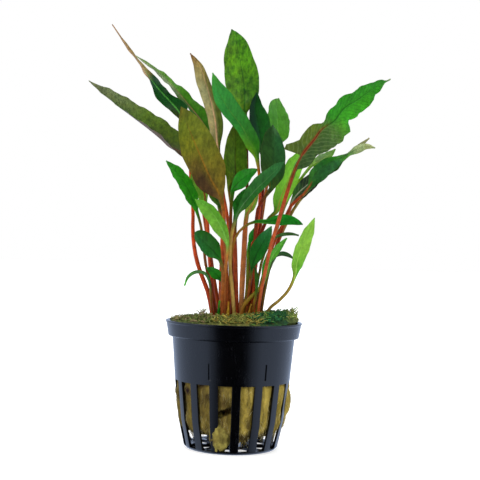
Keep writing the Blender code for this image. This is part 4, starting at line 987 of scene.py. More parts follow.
def build_pot():
    """The moulded pot, a shell of outer and inner faces joined round its windows, floor gaps and slits."""
    rows = pot_rows()
    columns = RIBS * PITCH_COLUMNS
    heights = [row[1] for row in rows]
    slit_row = heights.index(SLIT_TOP_Z)
    window_rows = range(heights.index(WINDOW_TOP_Z), heights.index(WINDOW_FOOT_Z))
    ring_row = len(rows) - len(FLOOR_RINGS_R)
    floor_rows = range(ring_row, ring_row + 2)
    slits = {column for column, _ in slit_columns()}

    # Points of the outer and the inner side, row by row, and both middles of the floor
    points = []
    for inner in (False, True):
        for index, row in enumerate(rows):
            radius, z = row[2:] if inner else row[:2]
            in_wall = COLLAR_FOOT_Z > row[1] > WINDOW_TOP_Z
            angles = pot_angles(radius, index >= ring_row, in_wall)
            points += [(*around(radius, angle), z) for angle in angles]
    middle = len(points)
    points += [(0.0, 0.0, 0.0), (0.0, 0.0, FLOOR)]

    def at(inner, row, column):
        return (inner * len(rows) + row) * columns + column % columns

    def is_open(row, column):
        wide = 1 if row in window_rows else 2
        if row not in window_rows and row not in floor_rows:
            return False
        return 2 <= column % columns % (PITCH_COLUMNS * wide) <= PITCH_COLUMNS * wide - RIB_COLUMNS

    def joined(first, second):
        """A face from the outer wall to the inner one along an edge between two places (row, column)."""
        return at(0, *first), at(1, *first), at(1, *second), at(0, *second)

    # Faces of both sides, and across the wall round windows, gaps and slits
    faces = []
    for row in range(len(rows) - 1):
        for column in range(columns):
            if is_open(row, column):
                continue
            corners = [(row, column), (row + 1, column), (row + 1, column + 1), (row, column + 1)]
            outer = [at(0, *corner) for corner in corners]
            faces.append(tuple(at(1, *corner) for corner in corners[::-1]))
            if row == slit_row and column in slits:
                pit = list(range(len(points), len(points) + 4))
                for x, y, z in [points[i] for i in outer]:
                    share = 1 - SLIT_DEPTH / math.hypot(x, y)
                    points.append((x * share, y * share, z))
                faces.append(tuple(pit))
                faces += [(outer[i - 1], outer[i], pit[i], pit[i - 1]) for i in range(4)]
            else:
                faces.append(tuple(outer))
            beside = ((row, column - 1), (row + 1, column), (row, column + 1), (row - 1, column))
            for i, neighbour in enumerate(beside):
                if is_open(*neighbour):
                    faces.append(joined(corners[i], corners[(i + 1) % 4]))
    # The rim's edge and the floor's middle
    last = len(rows) - 1
    for column in range(columns):
        faces.append(joined((0, column + 1), (0, column)))
        faces.append((at(0, last, column), middle, at(0, last, column + 1)))
        faces.append((at(1, last, column + 1), middle + 1, at(1, last, column)))

    # Points that stand in an opening are dropped
    used = sorted({i for face in faces for i in face})
    renumber = {old: new for new, old in enumerate(used)}
    points = [points[i] for i in used]
    faces = [tuple(renumber[i] for i in face) for face in faces]
    pot = add_piece("pot_shell", points, faces, pot_plastic(), ["pot"], sharp=EDGE_DEG)
    bevel = pot.modifiers.new("edges", "BEVEL")
    bevel.width = EDGE_ROUNDING * MM
    bevel.segments = 2
    bevel.limit_method = "ANGLE"
    bevel.angle_limit = math.radians(EDGE_DEG)
    bevel.harden_normals = True


def pot_plastic():
    """Black moulded plastic with a fine grain and faint scuffs."""
    material, tree, shader = new_material("pot_plastic")
    grain = noise_value(tree, scaled_place(tree), 2600.0, 2.0)
    patches = noise_value(tree, scaled_place(tree), 160.0, 4.0)
    scuffs = noise_value(tree, scaled_place(tree, (1.0, 1.0, 0.25)), 700.0, 3.0, 0.7)
    dust = stretch(tree, scuffs, 0.58, 0.78)
    colour = mixed(tree, times(tree, dust, 0.2), (0.0006, 0.0007, 0.0012, 1), (0.009, 0.011, 0.017, 1))
    tree.links.new(colour, shader.inputs["Base Color"])
    roughness = plus(tree, spread(tree, patches, 0.18, 0.27), times(tree, dust, 0.15))
    tree.links.new(roughness, shader.inputs["Roughness"])
    bumped(tree, shader, plus(tree, times(tree, grain, 0.3), patches), 0.0001, 0.2)
    return material


def strands(paths, radii, sides):
    """Points and faces of many thin closed tubes; paths is (count, rings, 3) and radii (count, rings)."""
    count, rings = radii.shape
    heading = np.gradient(paths, axis=1)
    heading /= np.linalg.norm(heading, axis=2)[:, :, None] + 1e-9
    spare = np.where(np.abs(heading[:, :, 2:]) > 0.8, (1.0, 0.0, 0.0), (0.0, 0.0, 1.0))
    first = np.cross(heading, spare[:, rings // 2][:, None, :])
    first /= np.linalg.norm(first, axis=2)[:, :, None] + 1e-9
    second = np.cross(heading, first)
    turn = 2 * math.pi * np.arange(sides)[:, None] / sides
    ring = first[:, :, None, :] * np.cos(turn) + second[:, :, None, :] * np.sin(turn)
    points = (paths[:, :, None, :] + ring * radii[:, :, None, None]).reshape(-1, 3)
    faces = []
    for start in range(0, count * rings * sides, rings * sides):
        faces += grid_faces(rings, sides, start)
        faces.append(tuple(range(start + sides - 1, start - 1, -1)))
        faces.append(tuple(range(start + (rings - 1) * sides, start + rings * sides)))
    return points, faces


def fibre_material(slot, roughness, streak_scale):
    """Felted or leafy fibre: tinted strand by strand, with fine broken shade."""
    material, tree, shader = new_material(slot)
    tint = add(tree, "Attribute", attribute_name="tint").outputs["Color"]
    streaks = noise_value(tree, scaled_place(tree, (1.0, 1.0, 0.3)), streak_scale, 4.0, 0.65)
    grain = noise_value(tree, scaled_place(tree), 3.0 * streak_scale, 3.0, 0.6)
    shade = times(tree, spread(tree, streaks, 0.6, 1.35), spread(tree, grain, 0.8, 1.2))
    tree.links.new(dimmed(tree, tint, shade), shader.inputs["Base Color"])
    shader.inputs["Roughness"].default_value = roughness
    shader.inputs["Specular IOR Level"].default_value = 0.25
    bumped(tree, shader, plus(tree, streaks, times(tree, grain, 0.5)), 0.0005, 0.7)
    return material


def off_angle(angle, degrees):
    """How far in radians an angle lies from one in degrees."""
    return math.remainder(angle - math.radians(degrees), 2 * math.pi)


def hem_z(angle):
    """Height of the plug's ragged lower edge."""
    x, y = around(HEM_R, angle)
    low = math.exp(-(off_angle(angle, HEM_LOW_DEG) / HEM_LOW_SPREAD) ** 2)
    rags = HEM_RAGS * rough(x, y, 9.0, 2.4)
    return WOOL_HEM_Z - HEM_LOW * low + HEM_WAVE * rough(x, y, 3.0, 9.0) + rags


def hollow(angle, z):
    """How deep a place lies in the hole in the front of the plug, from 0 to 1."""
    along = off_angle(angle, HOLE_DEG) * WAIST_R
    up = z - HOLE_Z - HOLE_SLANT * along
    return math.exp(-(along / HOLE_HALF[0]) ** 4 - (up / HOLE_HALF[1]) ** 4)


def shaded_side(x):
    """How far a place of the plug lies on its left side, which is painted darker as shade, from 0 to 1."""
    return ramp(x, *WOOL_SHADE_X)


def wool_place(angle, z):
    """The plug's surface: behind the ribs it lies on the wall, and between them it swells outward."""
    pitch = 2 * math.pi / RIBS
    inside = wall_radius(z) - WALL - WOOL_GAP
    from_rib = math.remainder(angle - FRONT - math.radians(FIRST_RIB_DEG), pitch)
    window_half = pitch / 2 - math.asin(RIB_WIDTH / 2 / inside)
    share = min((pitch / 2 - abs(from_rib)) / window_half, 1.0)
    dome = math.cos(share * math.pi / 2) ** 0.8
    x, y = around(inside, angle)
    sideways = math.cos(angle) ** 8
    bulge = BULGE_RIGHT if x > 0 else BULGE_LEFT
    bulge *= sideways * math.exp(-((z - WOOL_BULGE_Z) / WOOL_BULGE_HEIGHT) ** 2)
    swell = dome * (WOOL_SWELL + 0.5 * rough(x, y, z, 7.0) + bulge)
    swell *= ramp(z, WINDOW_TOP_Z, WINDOW_TOP_Z - 1.0)
    folds = WOOL_FOLDS * rough(x * 1.5, y * 1.5, z * 0.3, 3.2, 4) + WOOL_GRAIN * rough(x, y, z, 0.9, 2)
    most = WOOL_MOST_SWELL + WOOL_MORE_AT_RIGHT * sideways * (x > 0)
    out = min(max(swell, 0.0) + folds - WOOL_GAP, 0.0 if share >= 1.0 else most * dome)
    drawn_in = HEM_DRAWN_IN * ramp(z, WOOL_HEM_Z + HEM_CURL, WOOL_HEM_Z - HEM_CURL) ** 1.5
    return inside + out - drawn_in - HOLE_DEPTH * hollow(angle, z)


def wool_patches_and_shade(x, y, z, angle, radius):
    """How dark the felt is at a place, from 0 to 1: in random patches of its own tone, and with painted
    shade in folds sunk behind the wall, in the hole, at the hem and on the left.
    """
    patches = limited(1.7 * rough(x * 1.3, y * 1.3, z * 0.25 + 40, 3.6) - 0.2, 0.8)
    # Painted shade where the felt sinks behind the wall, in the hole, where the hem curls under, and on its
    # left
    sunk = limited((wall_radius(z) - WALL - WOOL_GAP - radius) / 1.2, 0.85)
    at_hem = 0.55 * (1 - min((z - hem_z(angle)) / 1.2, 1.0))
    shade = (0.52 + 0.2 * ramp(z, 15.0, 23.0)) * shaded_side(x) * (1 + 0.6 * rough(x, y, z, 4.0))
    return max(patches, sunk, hollow(angle, z) ** 0.7, at_hem, shade)


def build_wool():
    """The plug of mineral wool: a folded, ragged felt with a hole in its front and a lump under it."""
    material = fibre_material("mineral_wool", 0.9, 520.0)
    pale, deep, dark = (linear(value) for value in WOOL_TINTS)
    angles = [2 * math.pi * i / WOOL_COLUMNS for i in range(WOOL_COLUMNS)]
    points = []
    tints = []
    for k in range(WOOL_ROWS + 1):
        for angle in angles:
            z = WOOL_TOP_Z + (hem_z(angle) - WOOL_TOP_Z) * k / WOOL_ROWS
            radius = wool_place(angle, z)
            x, y = around(radius, angle)
            points.append((x, y, z))
            mix = limited(0.5 + 0.9 * rough(x, y, z * 0.4, 3.0))
            # Darkened by patches of the felt's own tone and by painted shade
            patches_and_shade = wool_patches_and_shade(x, y, z, angle, radius)
            tints.append((pale * mix + deep * (1 - mix)) * (1 - patches_and_shade) + dark * patches_and_shade)
    # The underside is tinted half dark as painted shade under the plug
    for share in UNDER_RINGS:
        for angle in angles:
            z = hem_z(angle)
            x, y = around(wool_place(angle, z) * share, angle)
            points.append((x, y, z - UNDER_DROP * (1 - share) + 0.5 * rough(x, y, z, 2.5)))
            tints.append(deep * 0.5 + dark * 0.5)
    faces = capped_faces(WOOL_ROWS + 1 + len(UNDER_RINGS), WOOL_COLUMNS, len(points), len(points) + 1)
    points += [(0.0, 0.0, WOOL_TOP_Z), (0.0, 0.0, WOOL_HEM_Z - UNDER_MIDDLE_DROP)]
    add_piece("wool_plug", points, [face[::-1] for face in faces], material, ["rockwool"],
              colours=tints + [deep, dark], sharp=80.0)
    build_lump(material)
    build_wool_fibres(material)


def build_lump(material):
    """The lump of wool that hangs to the pot's floor beside a rib."""
    pale, dark = (linear(value) for value in LUMP_TINTS)
    out = Vector((*around(1.0, math.radians(LUMP_DEG)), 0.0))
    side = Vector((-out.y, out.x, 0.0))
    middle = out * LUMP_R + Vector((0.0, 0.0, LUMP_Z))
    half_out, half_side, half_up = LUMP_HALF
    points = []
    tints = []
    for k in range(1, LUMP_ROWS):
        polar = math.pi * k / LUMP_ROWS
        for i in range(LUMP_COLUMNS):
            x, y = around(math.sin(polar), 2 * math.pi * i / LUMP_COLUMNS)
            way = Vector((x, y, math.cos(polar)))
            size = 1 + 0.16 * rough(*(way * 9), 4.0) + 0.07 * rough(*(way * 9), 1.1)
            size += 0.17 * max(-way.y, 0.0) * max(0.4 - way.z, 0.0)
            place = middle + size * (out * half_out * way.x + side * half_side * way.y)
            place.z = max(LUMP_Z + half_up * size * way.z, FLOOR + 0.1)
            points.append(place)
            mix = limited(0.55 + 0.9 * rough(*place, 2.4) + 0.3 * way.y)
            tints.append(pale * mix + dark * (1 - mix))
    faces = capped_faces(LUMP_ROWS - 1, LUMP_COLUMNS, len(points), len(points) + 1)
    points += [(*middle.xy, LUMP_Z + half_up), (*middle.xy, FLOOR + 0.1)]
    add_piece("wool_lump", points, [face[::-1] for face in faces], material, [],
              colours=tints + [pale, dark], sharp=80.0)


def build_wool_fibres(material):
    """Loose fibres over the felt and frayed at its hem."""
    random = np.random.default_rng(41)
    steps = np.linspace(0.0, 1.0, WOOL_FIBRE_RINGS)
    paths = []
    tints = []
    shades = [linear(value) for value in FIBRE_TINTS]
    chances = tuple(FIBRE_TINTS.values())
    for number in range(WOOL_FIBRES):
        angle = random.uniform(0, 2 * math.pi)
        at_hem = number % 4 == 0
        z = hem_z(angle) + random.uniform(*FIBRE_OVER_HEM) if at_hem else random.uniform(*FIBRE_FROM_Z)
        drop = random.uniform(*FIBRE_DROPS)
        lean = random.normal(0.0, FIBRE_LEAN)
        bow = random.uniform(*FIBRE_BOWS)
        path = []
        for t in steps:
            turned, height = angle + lean * t, z - drop * t
            hem = hem_z(turned)
            radius = wool_place(turned, max(height, hem)) + 0.05 + bow * math.sin(math.pi * t)
            radius -= 0.4 * max(hem - height, 0.0)
            path.append((*around(radius, turned), max(height, FLOOR + 0.2)))
        paths.append(path)
        # Fibres on the left are darkened by the same painted shade as the felt
        shade = 1 - 0.5 * shaded_side(path[0][0])
        tints.append(shade * shades[random.choice(len(shades), p=chances)])
    radii = WOOL_FIBRE_R * (1 - 0.6 * steps) * random.uniform(0.7, 1.4, (WOOL_FIBRES, 1))
    points, faces = strands(np.array(paths), radii, WOOL_FIBRE_SIDES)
    add_piece("wool_fibres", points, faces, material, [],
              colours=np.repeat(tints, WOOL_FIBRE_RINGS * WOOL_FIBRE_SIDES, axis=0), sharp=180.0)


def moss_top(x, y):
    """Height of the moss over a place: lumpy, higher in front and on the right, with two tufts."""
    angle, radius = math.atan2(y, x), math.hypot(x, y)
    outward = min(radius / MOSS_RISE_R, 1.0)
    right = (0.5 + 0.5 * math.cos(angle)) ** 3
    front = (0.5 - 0.5 * math.sin(angle)) ** 2 * ramp(radius, 25.0, 19.0)
    edge_drop = (MOSS_FRONT_DROP if y < 0 else MOSS_BACK_DROP) * ramp(radius, *MOSS_EDGE_R)
    rise = (MOSS_RISE_RIGHT * right + MOSS_RISE_FRONT * front) * outward
    height = MOSS_TOP_Z + rise + MOSS_LUMPS * rough(x, y, 1.0, 3.4) - edge_drop
    for tuft_x, tuft_y, spread_r, rise in MOSS_TUFTS:
        height += rise * math.exp(-((x - tuft_x) ** 2 + (y - tuft_y) ** 2) / spread_r ** 2)
    return height


def moss_tint(x, y, random):
    """A strand's colour: olive on the left, yellower in the middle, deep green on the right."""
    tuft_x, tuft_y = MOSS_TUFTS[0][:2]
    if (x - tuft_x) ** 2 + (y - tuft_y) ** 2 < TUFT_TINT_R_SQUARED:
        zone = "tuft"
    elif x > BUMP_X:
        zone = "bump"
    else:
        place = x + random.normal(0, 3.0)
        zone = "left" if place < -MIDDLE_X else "middle" if place < MIDDLE_X else "right"
    return linear(MOSS_SHADES[zone][random.integers(4)]) * random.uniform(0.75, 1.6)


def build_moss_bed(material):
    """The mat under the strands, dark and lumpy."""
    dark = linear(MOSS_BED_TINT)
    random = np.random.default_rng(5)
    points = []
    tints = []
    for k, radius in enumerate(MOSS_RINGS_R):
        for i in range(MOSS_COLUMNS):
            x, y = around(radius, 2 * math.pi * i / MOSS_COLUMNS)
            if k < len(MOSS_EDGE_Z):
                z = MOSS_EDGE_Z[k]
            else:
                lumps = MOSS_BED_LUMPS * rough(x, y, 5.0, 1.3)
                z = moss_top(x, y) - MOSS_BED_DEPTH + lumps - MOSS_BED_DIP * ramp(radius, 22.0, 25.0)
            points.append((x, y, max(z, ROOT_Z)))
            tints.append(0.5 * (dark + moss_tint(x, y, random)) * (1 + 0.4 * rough(x, y, z, 2.0)))
    faces = capped_faces(len(MOSS_RINGS_R), MOSS_COLUMNS, len(points), len(points) + 1)
    points += [(0.0, 0.0, ROOT_Z), (0.0, 0.0, moss_top(0.0, 0.0) - MOSS_BED_DEPTH)]
    add_piece("moss_bed", points, faces, material, ["moss"], colours=tints + [dark, dark],
              sharp=80.0)


def build_moss():
    """The mat of moss: its bed and short curled leafy strands all over it."""
    material = fibre_material("moss_mat", 0.75, 900.0)
    build_moss_bed(material)
    random = np.random.default_rng(17)
    steps = np.linspace(0.0, 1.0, MOSS_STRAND_RINGS)
    bead = 1 + 0.35 * (-1.0) ** np.arange(MOSS_STRAND_RINGS)
    paths = []
    widths = []
    tints = []
    while len(paths) < MOSS_STRANDS:
        radius = MOSS_SPREAD_R * math.sqrt(random.uniform(0.04, 1.0))
        x, y = around(radius, random.uniform(0, 2 * math.pi))
        length = random.uniform(*STRAND_LENGTHS)
        heading = random.uniform(0, 2 * math.pi)
        lean = random.uniform(*STRAND_LEANS)
        curl = random.normal(0.0, STRAND_CURL)
        place = np.array([x, y, moss_top(x, y) - STRAND_DEPTH])
        path = []
        for t in steps:
            path.append(place.copy())
            tilt = lean + STRAND_BEND * t
            way = (*around(math.sin(tilt), heading + curl * t), math.cos(tilt))
            place += length / (MOSS_STRAND_RINGS - 1) * np.array(way)
        path = np.array(path)
        far = np.hypot(path[:, 0], path[:, 1]).max()
        if far > MOSS_REACH_R or far > MOSS_SPREAD_R and (path[:, 2] < RIM_Z + 0.2).any():
            continue
        paths.append(path)
        widths.append(random.uniform(*STRAND_RADII) * (1 - 0.65 * steps ** 1.5) * bead)
        tints.append(moss_tint(x, y, random))
    points, faces = strands(np.array(paths), np.array(widths), MOSS_STRAND_SIDES)
    colours = np.array(tints)[:, None, :] * (0.55 + 0.75 * steps)[None, :, None]
    add_piece("moss_strands", points, faces, material, [],
              colours=np.repeat(colours.reshape(-1, 3), MOSS_STRAND_SIDES, axis=0), sharp=180.0)


def eased_fine(leaf, eased):
    """One leaf's fine sections, eased apart in depth as its solid's sections are, and its stalk's count."""
    plain, coarse_at = leaf_sections(leaf, solid_counts(leaf))
    counts = FINE_LONG if solid_counts(leaf) == LONG_LEAF else FINE_SHORT
    fine, fine_at = leaf_sections(leaf, counts)
    pushed = np.column_stack([eased[:, 1] - plain[:, 1], np.zeros((len(coarse_at), 3))])
    return shift_depth(fine, smooth_through(pushed, fine_at, coarse_at)[:, 0]), counts[0]


def bumps(rows, along):
    """The sum of smooth bumps along a blade, each given by its place, its length and its size."""
    return sum((size * np.exp(-((along - place) / length) ** 2) for place, length, size in rows),
               np.zeros(len(along)))


def on_side(rows, side):
    """The bumps of a list that lie on one side, -1 for left or 1 for right."""
    return [row[1:] for row in rows if row[0] == side]


def colour_stops(stops, along):
    """Colours at shares along a blade, left and right, from its stops."""
    shares = [stop[0] for stop in stops]
    both = []
    for side in (1, 2):
        values = np.array([linear(stop[side]) for stop in stops])
        both.append(np.column_stack([np.interp(along, shares, values[:, i]) for i in range(3)]))
    return both


def blade_columns(rib_at, rib_half, left, right):
    """Distances across each section from the left margin over the midrib to the right margin."""
    edge = RIB_STEPS[-1] * rib_half
    offsets = [rib_at + step * rib_half for step in RIB_STEPS]
    for share in SIDE_STEPS:
        offsets.append(rib_at + edge + (right - rib_at - edge) * share)
        offsets.insert(0, rib_at - edge - (left + rib_at - edge) * share)
    return np.array(offsets).T


def ringed(front, back):
    """Values of a leaf's front and back joined into rings that share the margins' columns."""
    return np.concatenate([front, back[:, -2:0:-1]], axis=1)


def leaf_tints(name, along, reach, stalk_count, from_rib, edge, share, in_rib):
    """Colours of a leaf's front and back, in linear red, green and blue."""
    stops, rib_hex, back_hex, stalk_hexes = LOOKS[name][:4]
    left_tint, right_tint = colour_stops(stops, along)
    mix = np.clip(from_rib / (0.8 * np.maximum(edge, 0.3)) + 0.5, 0.0, 1.0)[:, :, None]
    tint = left_tint[:, None] * (1 - mix) + right_tint[:, None] * mix
    rib_mix = (1 - np.clip((in_rib - 0.3) / 0.5, 0.0, 1.0)) * np.clip(1.25 - along, 0.0, 1.0)[:, None]
    rib_mix = rib_mix[:, :, None]
    rib_tint = np.broadcast_to(linear(rib_hex), (len(along), 3))
    if name in RIB_CHANGES:
        change_from, change_to, new_hex = RIB_CHANGES[name]
        change = np.clip((along - change_from) / (change_to - change_from), 0.0, 1.0)[:, None]
        rib_tint = rib_tint * (1 - change) + linear(new_hex) * change
    rib_tint = np.repeat(rib_tint[:, None], from_rib.shape[1], axis=1)
    # The groove's middle column is painted dark as shade
    if name in GROOVED:
        rib_tint[:, from_rib.shape[1] // 2] *= GROOVE_SHADE
    tint = tint * (1 - rib_mix) + rib_tint * rib_mix

    foot, top = (linear(value) for value in stalk_hexes)
    climb = (np.arange(len(along)) / stalk_count).clip(0, 1)[:, None]
    # Stalks are brightened with painted sheen and glow of light through them
    stalk_tint = (foot * (1 - climb) + top * climb)[:, None] * STALK_GAIN
    into = reach - reach[stalk_count - 1] + JOINT_LENGTHS[0]
    into = np.clip(into / sum(JOINT_LENGTHS), 0.0, 1.0)[:, None, None]
    tint = stalk_tint * (1 - into) + tint * into
    margin = np.clip((share - MARGIN_FROM) / (1 - MARGIN_FROM), 0, 1)[:, :, None] * into * MARGIN_MIX
    tint = tint * (1 - margin) + (tint * MARGIN_SHADE + MARGIN_TINT) * margin
    back_tint = np.broadcast_to(linear(back_hex), tint.shape) * into + stalk_tint * (1 - into)
    rib_mix = rib_mix * into
    return LEAF_GAIN * tint, LEAF_GAIN * (back_tint * (1 - rib_mix) + linear(rib_hex) * rib_mix)


def build_leaf(name, leaf, eased, material):
    """One leaf: a round stalk that flattens into a creased, waved and pointed blade with a midrib."""
    rib_width, (rib_base, rib_tip), veins, (wave, waves) = LOOKS[name][4:]
    sections, stalk_count = eased_fine(leaf, eased)
    tip_point = sections[-1, :3].copy()
    sections[-1, :3] += TIP_PULL * (sections[-2, :3] - tip_point)
    side, face = section_frames(sections)
    along = sections[:, 5]
    reach = lengths(sections)
    in_blade = np.arange(len(sections)) >= stalk_count
    blend = np.clip(along * FLATTEN_RATE, 0.0, 1.0)
    blend = (blend * blend * (3 - 2 * blend))[:, None]

    # Half widths of the stalk and of both margins
    half = sections[:, 3] / 2
    low = np.clip(1 - reach / STALK_TAPER_LENGTH, 0.0, 1.0)
    swell = FOOT_SWELL.get(name, FOOT_SWELL["others"])
    half[:stalk_count] *= (1 + swell * low[:stalk_count]) * STALK_THICKNESS.get(name, 1.0)
    stalk_half = (half[0] * (1 + swell * low) / (1 + swell))[:, None]
    rounding = np.sqrt(np.clip((1 - along) / TIP_ROUNDING, 0.0, 1.0))
    half = half * (TIP_LEFT + (1 - TIP_LEFT) * rounding)
    stalk_left = np.clip(1 - along * NARROWING_RATE, 0.0, 1.0)
    least = np.maximum(LEAST_HALF, half[stalk_count - 1] * stalk_left)
    least = np.where(in_blade, least, half)
    left, right = (np.maximum(half + bumps(on_side(LOBES.get(name, []), margin), along) * in_blade, least)
                   for margin in (-1, 1))

    # The midrib, and distances across each section
    rib_at = (rib_base + (rib_tip - rib_base) * along) * half * blend[:, 0]
    rib_at += bumps(RIB_SHIFTS.get(name, []), along) * in_blade
    most_rib = MOST_RIB * np.minimum(rib_at + left, right - rib_at)
    rib_half = np.minimum(rib_width / 2 * (1 - RIB_TAPER * along), most_rib)
    rib_half = np.maximum(rib_half, LEAST_RIB)
    off = blade_columns(rib_at, rib_half, left, right)
    from_rib = off - rib_at[:, None]
    edge = np.where(from_rib > 0, (right - rib_at)[:, None], (left + rib_at)[:, None])
    share = np.clip(np.abs(from_rib) / np.maximum(edge, 1e-6), 0.0, 1.0)
    sign = np.sign(from_rib)
    in_rib = np.clip(np.abs(from_rib) / (RIB_STEPS[-1] * rib_half)[:, None], 0.0, 1.0)

    # How thick the leaf is on both sides of its middle surface
    half = half[:, None]
    along_column = along[:, None]
    round_half = stalk_half * np.sqrt(np.clip(1 - (off / np.maximum(half, 1e-6)) ** 2, 0.0, 1.0))
    flat_half = SKIN_HALF * np.sqrt(np.clip(1 - share ** 4, 0.0, 1.0))
    flat_half = flat_half * (1 - TIP_THINNING * along_column)
    stalk_rise = np.clip((stalk_half * (1 - STALK_SINK * blend)) ** 2 - from_rib ** 2, 0.0, None)
    ridge = np.cos(in_rib * math.pi / 2) ** 2 * RIB_RISE * rib_width * (1 - RIDGE_TAPER * along_column)
    ridge = np.maximum(ridge, np.sqrt(stalk_rise) * (blend < 1))
    groove = np.cos(in_rib * math.pi / 2) ** 2 * GROOVE_DEPTH * np.clip(half / 2, 0, 1)
    before, behind = (ridge, 0.0) if name in RAISED else (-groove, ridge)
    toward = (1 - blend) * round_half + blend * (flat_half + before)
    away = (1 - blend) * round_half + blend * (flat_half + behind)

    # The fold, the margins' waves and the swellings between veins
    crease = np.sqrt((share * half) ** 2 + CREASE ** 2) - CREASE
    fold = math.tan(math.radians(leaf[4])) * blend * (crease - half * FOLD_LEVEL)
    phase = sum(ord(letter) for letter in name)
    turn = 2 * math.pi * waves * along_column
    ripple = np.sin(turn + phase + sign * WAVE_SHIFT)
    ripple = ripple + SECOND_WAVE * np.sin(SECOND_WAVE_RATE * turn + 2 * phase - sign)
    ripple *= wave * share ** WAVE_POWER * blend * np.clip(half / FULL_WAVE, 0.0, 1.0)
    ripple *= np.clip((1 - along_column) * WAVE_END_RATE, 0, 1)
    rows_of_veins = (reach[:, None] - VEIN_SLANT * np.abs(from_rib)) * 2 * math.pi / VEIN_SPACING
    quilt = np.sin(rows_of_veins) * np.sin(share * math.pi) * VEIN_LIFT * veins * blend
    lift = fold + ripple + quilt

    # Points with the margins swept back, and the faces between them
    swept = np.zeros_like(off)
    for margin in (-1, 1):
        swept += bumps(on_side(SWEEPS.get(name, []), margin), along)[:, None] * (sign == margin)
    swept *= np.clip(edge / FULL_SWEEP, 0.0, 1.0) * share ** SWEEP_POWER
    side, face, heading = side[:, None, :], face[:, None, :], np.cross(face, side)[:, None, :]
    centres = sections[:, None, :3] + side * off[:, :, None] - heading * swept[:, :, None]
    ring = ringed(centres + face * (lift + toward)[:, :, None], centres + face * (lift - away)[:, :, None])
    rows, ring_count = ring.shape[:2]
    last = (rows - 1) * ring_count
    tip = rows * ring_count
    faces = [quad[::-1] for quad in grid_faces(rows, ring_count)] + [tuple(range(ring_count))]
    faces += [(last + (i + 1) % ring_count, last + i, tip) for i in range(ring_count)]

    # Colours, and the places and strength by which the skin's veins are drawn
    tints = leaf_tints(name, along, reach, stalk_count, from_rib, edge, share, in_rib)
    tints = ringed(*tints).reshape(-1, 3)
    strength = veins * blend * np.where(along_column < LIGHT_VEINS.get(name, 0.0), -1.0, 1.0)
    strength = strength * np.clip((in_rib - 0.6) / 0.4, 0.0, 1.0)
    facts = np.stack([from_rib, np.broadcast_to(reach[:, None], off.shape), strength], axis=2)
    facts = ringed(facts, facts).reshape(-1, 3)
    add_piece(name + "_blade", np.vstack([ring.reshape(-1, 3), tip_point]), faces, material, [name],
              colours=np.vstack([tints, tints[-1]]), vectors=np.vstack([facts, facts[-1]]))


def leaf_material(slot, roughness, mottle, spots):
    """Living leaf: tinted, mottled and veined, satin over its stalk and blade."""
    material, tree, shader = new_material(slot)
    tint = add(tree, "Attribute", attribute_name="tint").outputs["Color"]
    facts = add(tree, "SeparateXYZ", {0: add(tree, "Attribute", attribute_name="leaf_mm").outputs["Vector"]})
    across, reach, strength = facts.outputs
    place = scaled_place(tree)
    blotch = noise_value(tree, place, 190.0, 4.0, 0.6)
    speckle = noise_value(tree, place, 1500.0, 3.0, 0.65)
    pale = noise_value(tree, place, 420.0, 2.0, 0.5, 0.6)
    fine = noise_value(tree, scaled_place(tree, (1.0, 1.0, 0.5)), 800.0, 2.0, 0.6)
    wander = spread(tree, noise_value(tree, place, 240.0, 2.0), -0.45, 0.45)
    slanted = plus(tree, reach, times(tree, maths(tree, "ABSOLUTE", across), -VEIN_SLANT))
    cycle = maths(tree, "PINGPONG", plus(tree, slanted, wander), VEIN_SPACING / 2)
    vein = times(tree, stretch(tree, cycle, 0.0, 0.3, 1.0, 0.0), strength)

    shade = spread(tree, blotch, 1 - mottle, 1 + mottle, 0.22)
    shade = times(tree, shade, spread(tree, fine, 1 - 1.3 * mottle, 1 + 1.3 * mottle, 0.18))
    shade = times(tree, shade, spread(tree, speckle, 0.88, 1.12))
    spot = stretch(tree, noise_value(tree, place, 430.0, 2.0, 0.55), 0.48, 0.72)
    yellowed = stretch(tree, pale, 0.5, 0.7, 0.0, 2.2 * mottle)
    colour = filtered(tree, yellowed, dimmed(tree, tint, shade), (1.35, 1.18, 0.75))
    colour = filtered(tree, times(tree, spot, spots), colour, (0.3, 0.5, 0.35))
    colour = filtered(tree, times(tree, vein, 0.8, clamp=True), colour, (0.55, 0.62, 0.55))
    colour = mixed(tree, times(tree, vein, -0.3, clamp=True), colour, (0.16, 0.22, 0.09, 1.0))
    tree.links.new(colour, shader.inputs["Base Color"])
    satin = spread(tree, speckle, roughness - 0.06, roughness + 0.08)
    tree.links.new(satin, shader.inputs["Roughness"])
    shader.inputs["Specular IOR Level"].default_value = 0.08
    height = plus(tree, times(tree, maths(tree, "ABSOLUTE", vein), -0.6), blotch)
    bumped(tree, shader, height, 0.00018, 0.3)
    return material


def build_leaves():
    """Every leaf, from its place in the table of leaves and its looks."""
    materials = {finish[0]: leaf_material(*finish) for finish in LEAF_FINISH.values()}
    for name, sections in ease_apart(LEAVES).items():
        slot = LEAF_FINISH[LEAVES[name][0]][0]
        build_leaf(name, LEAVES[name], sections, materials[slot])


def add_area(name, place, target_z, size, power, colour):
    """A soft square light, in metres, aimed at a height of the plant's axis."""
    light = bpy.data.lights.new(name, "AREA")
    light.size = size
    light.energy = power
    light.color = colour
    lamp = new_object(name, light)
    lamp.location = place
    lamp.rotation_euler = (Vector((0, 0, target_z)) - Vector(place)).to_track_quat("-Z", "Y").to_euler()
    return lamp


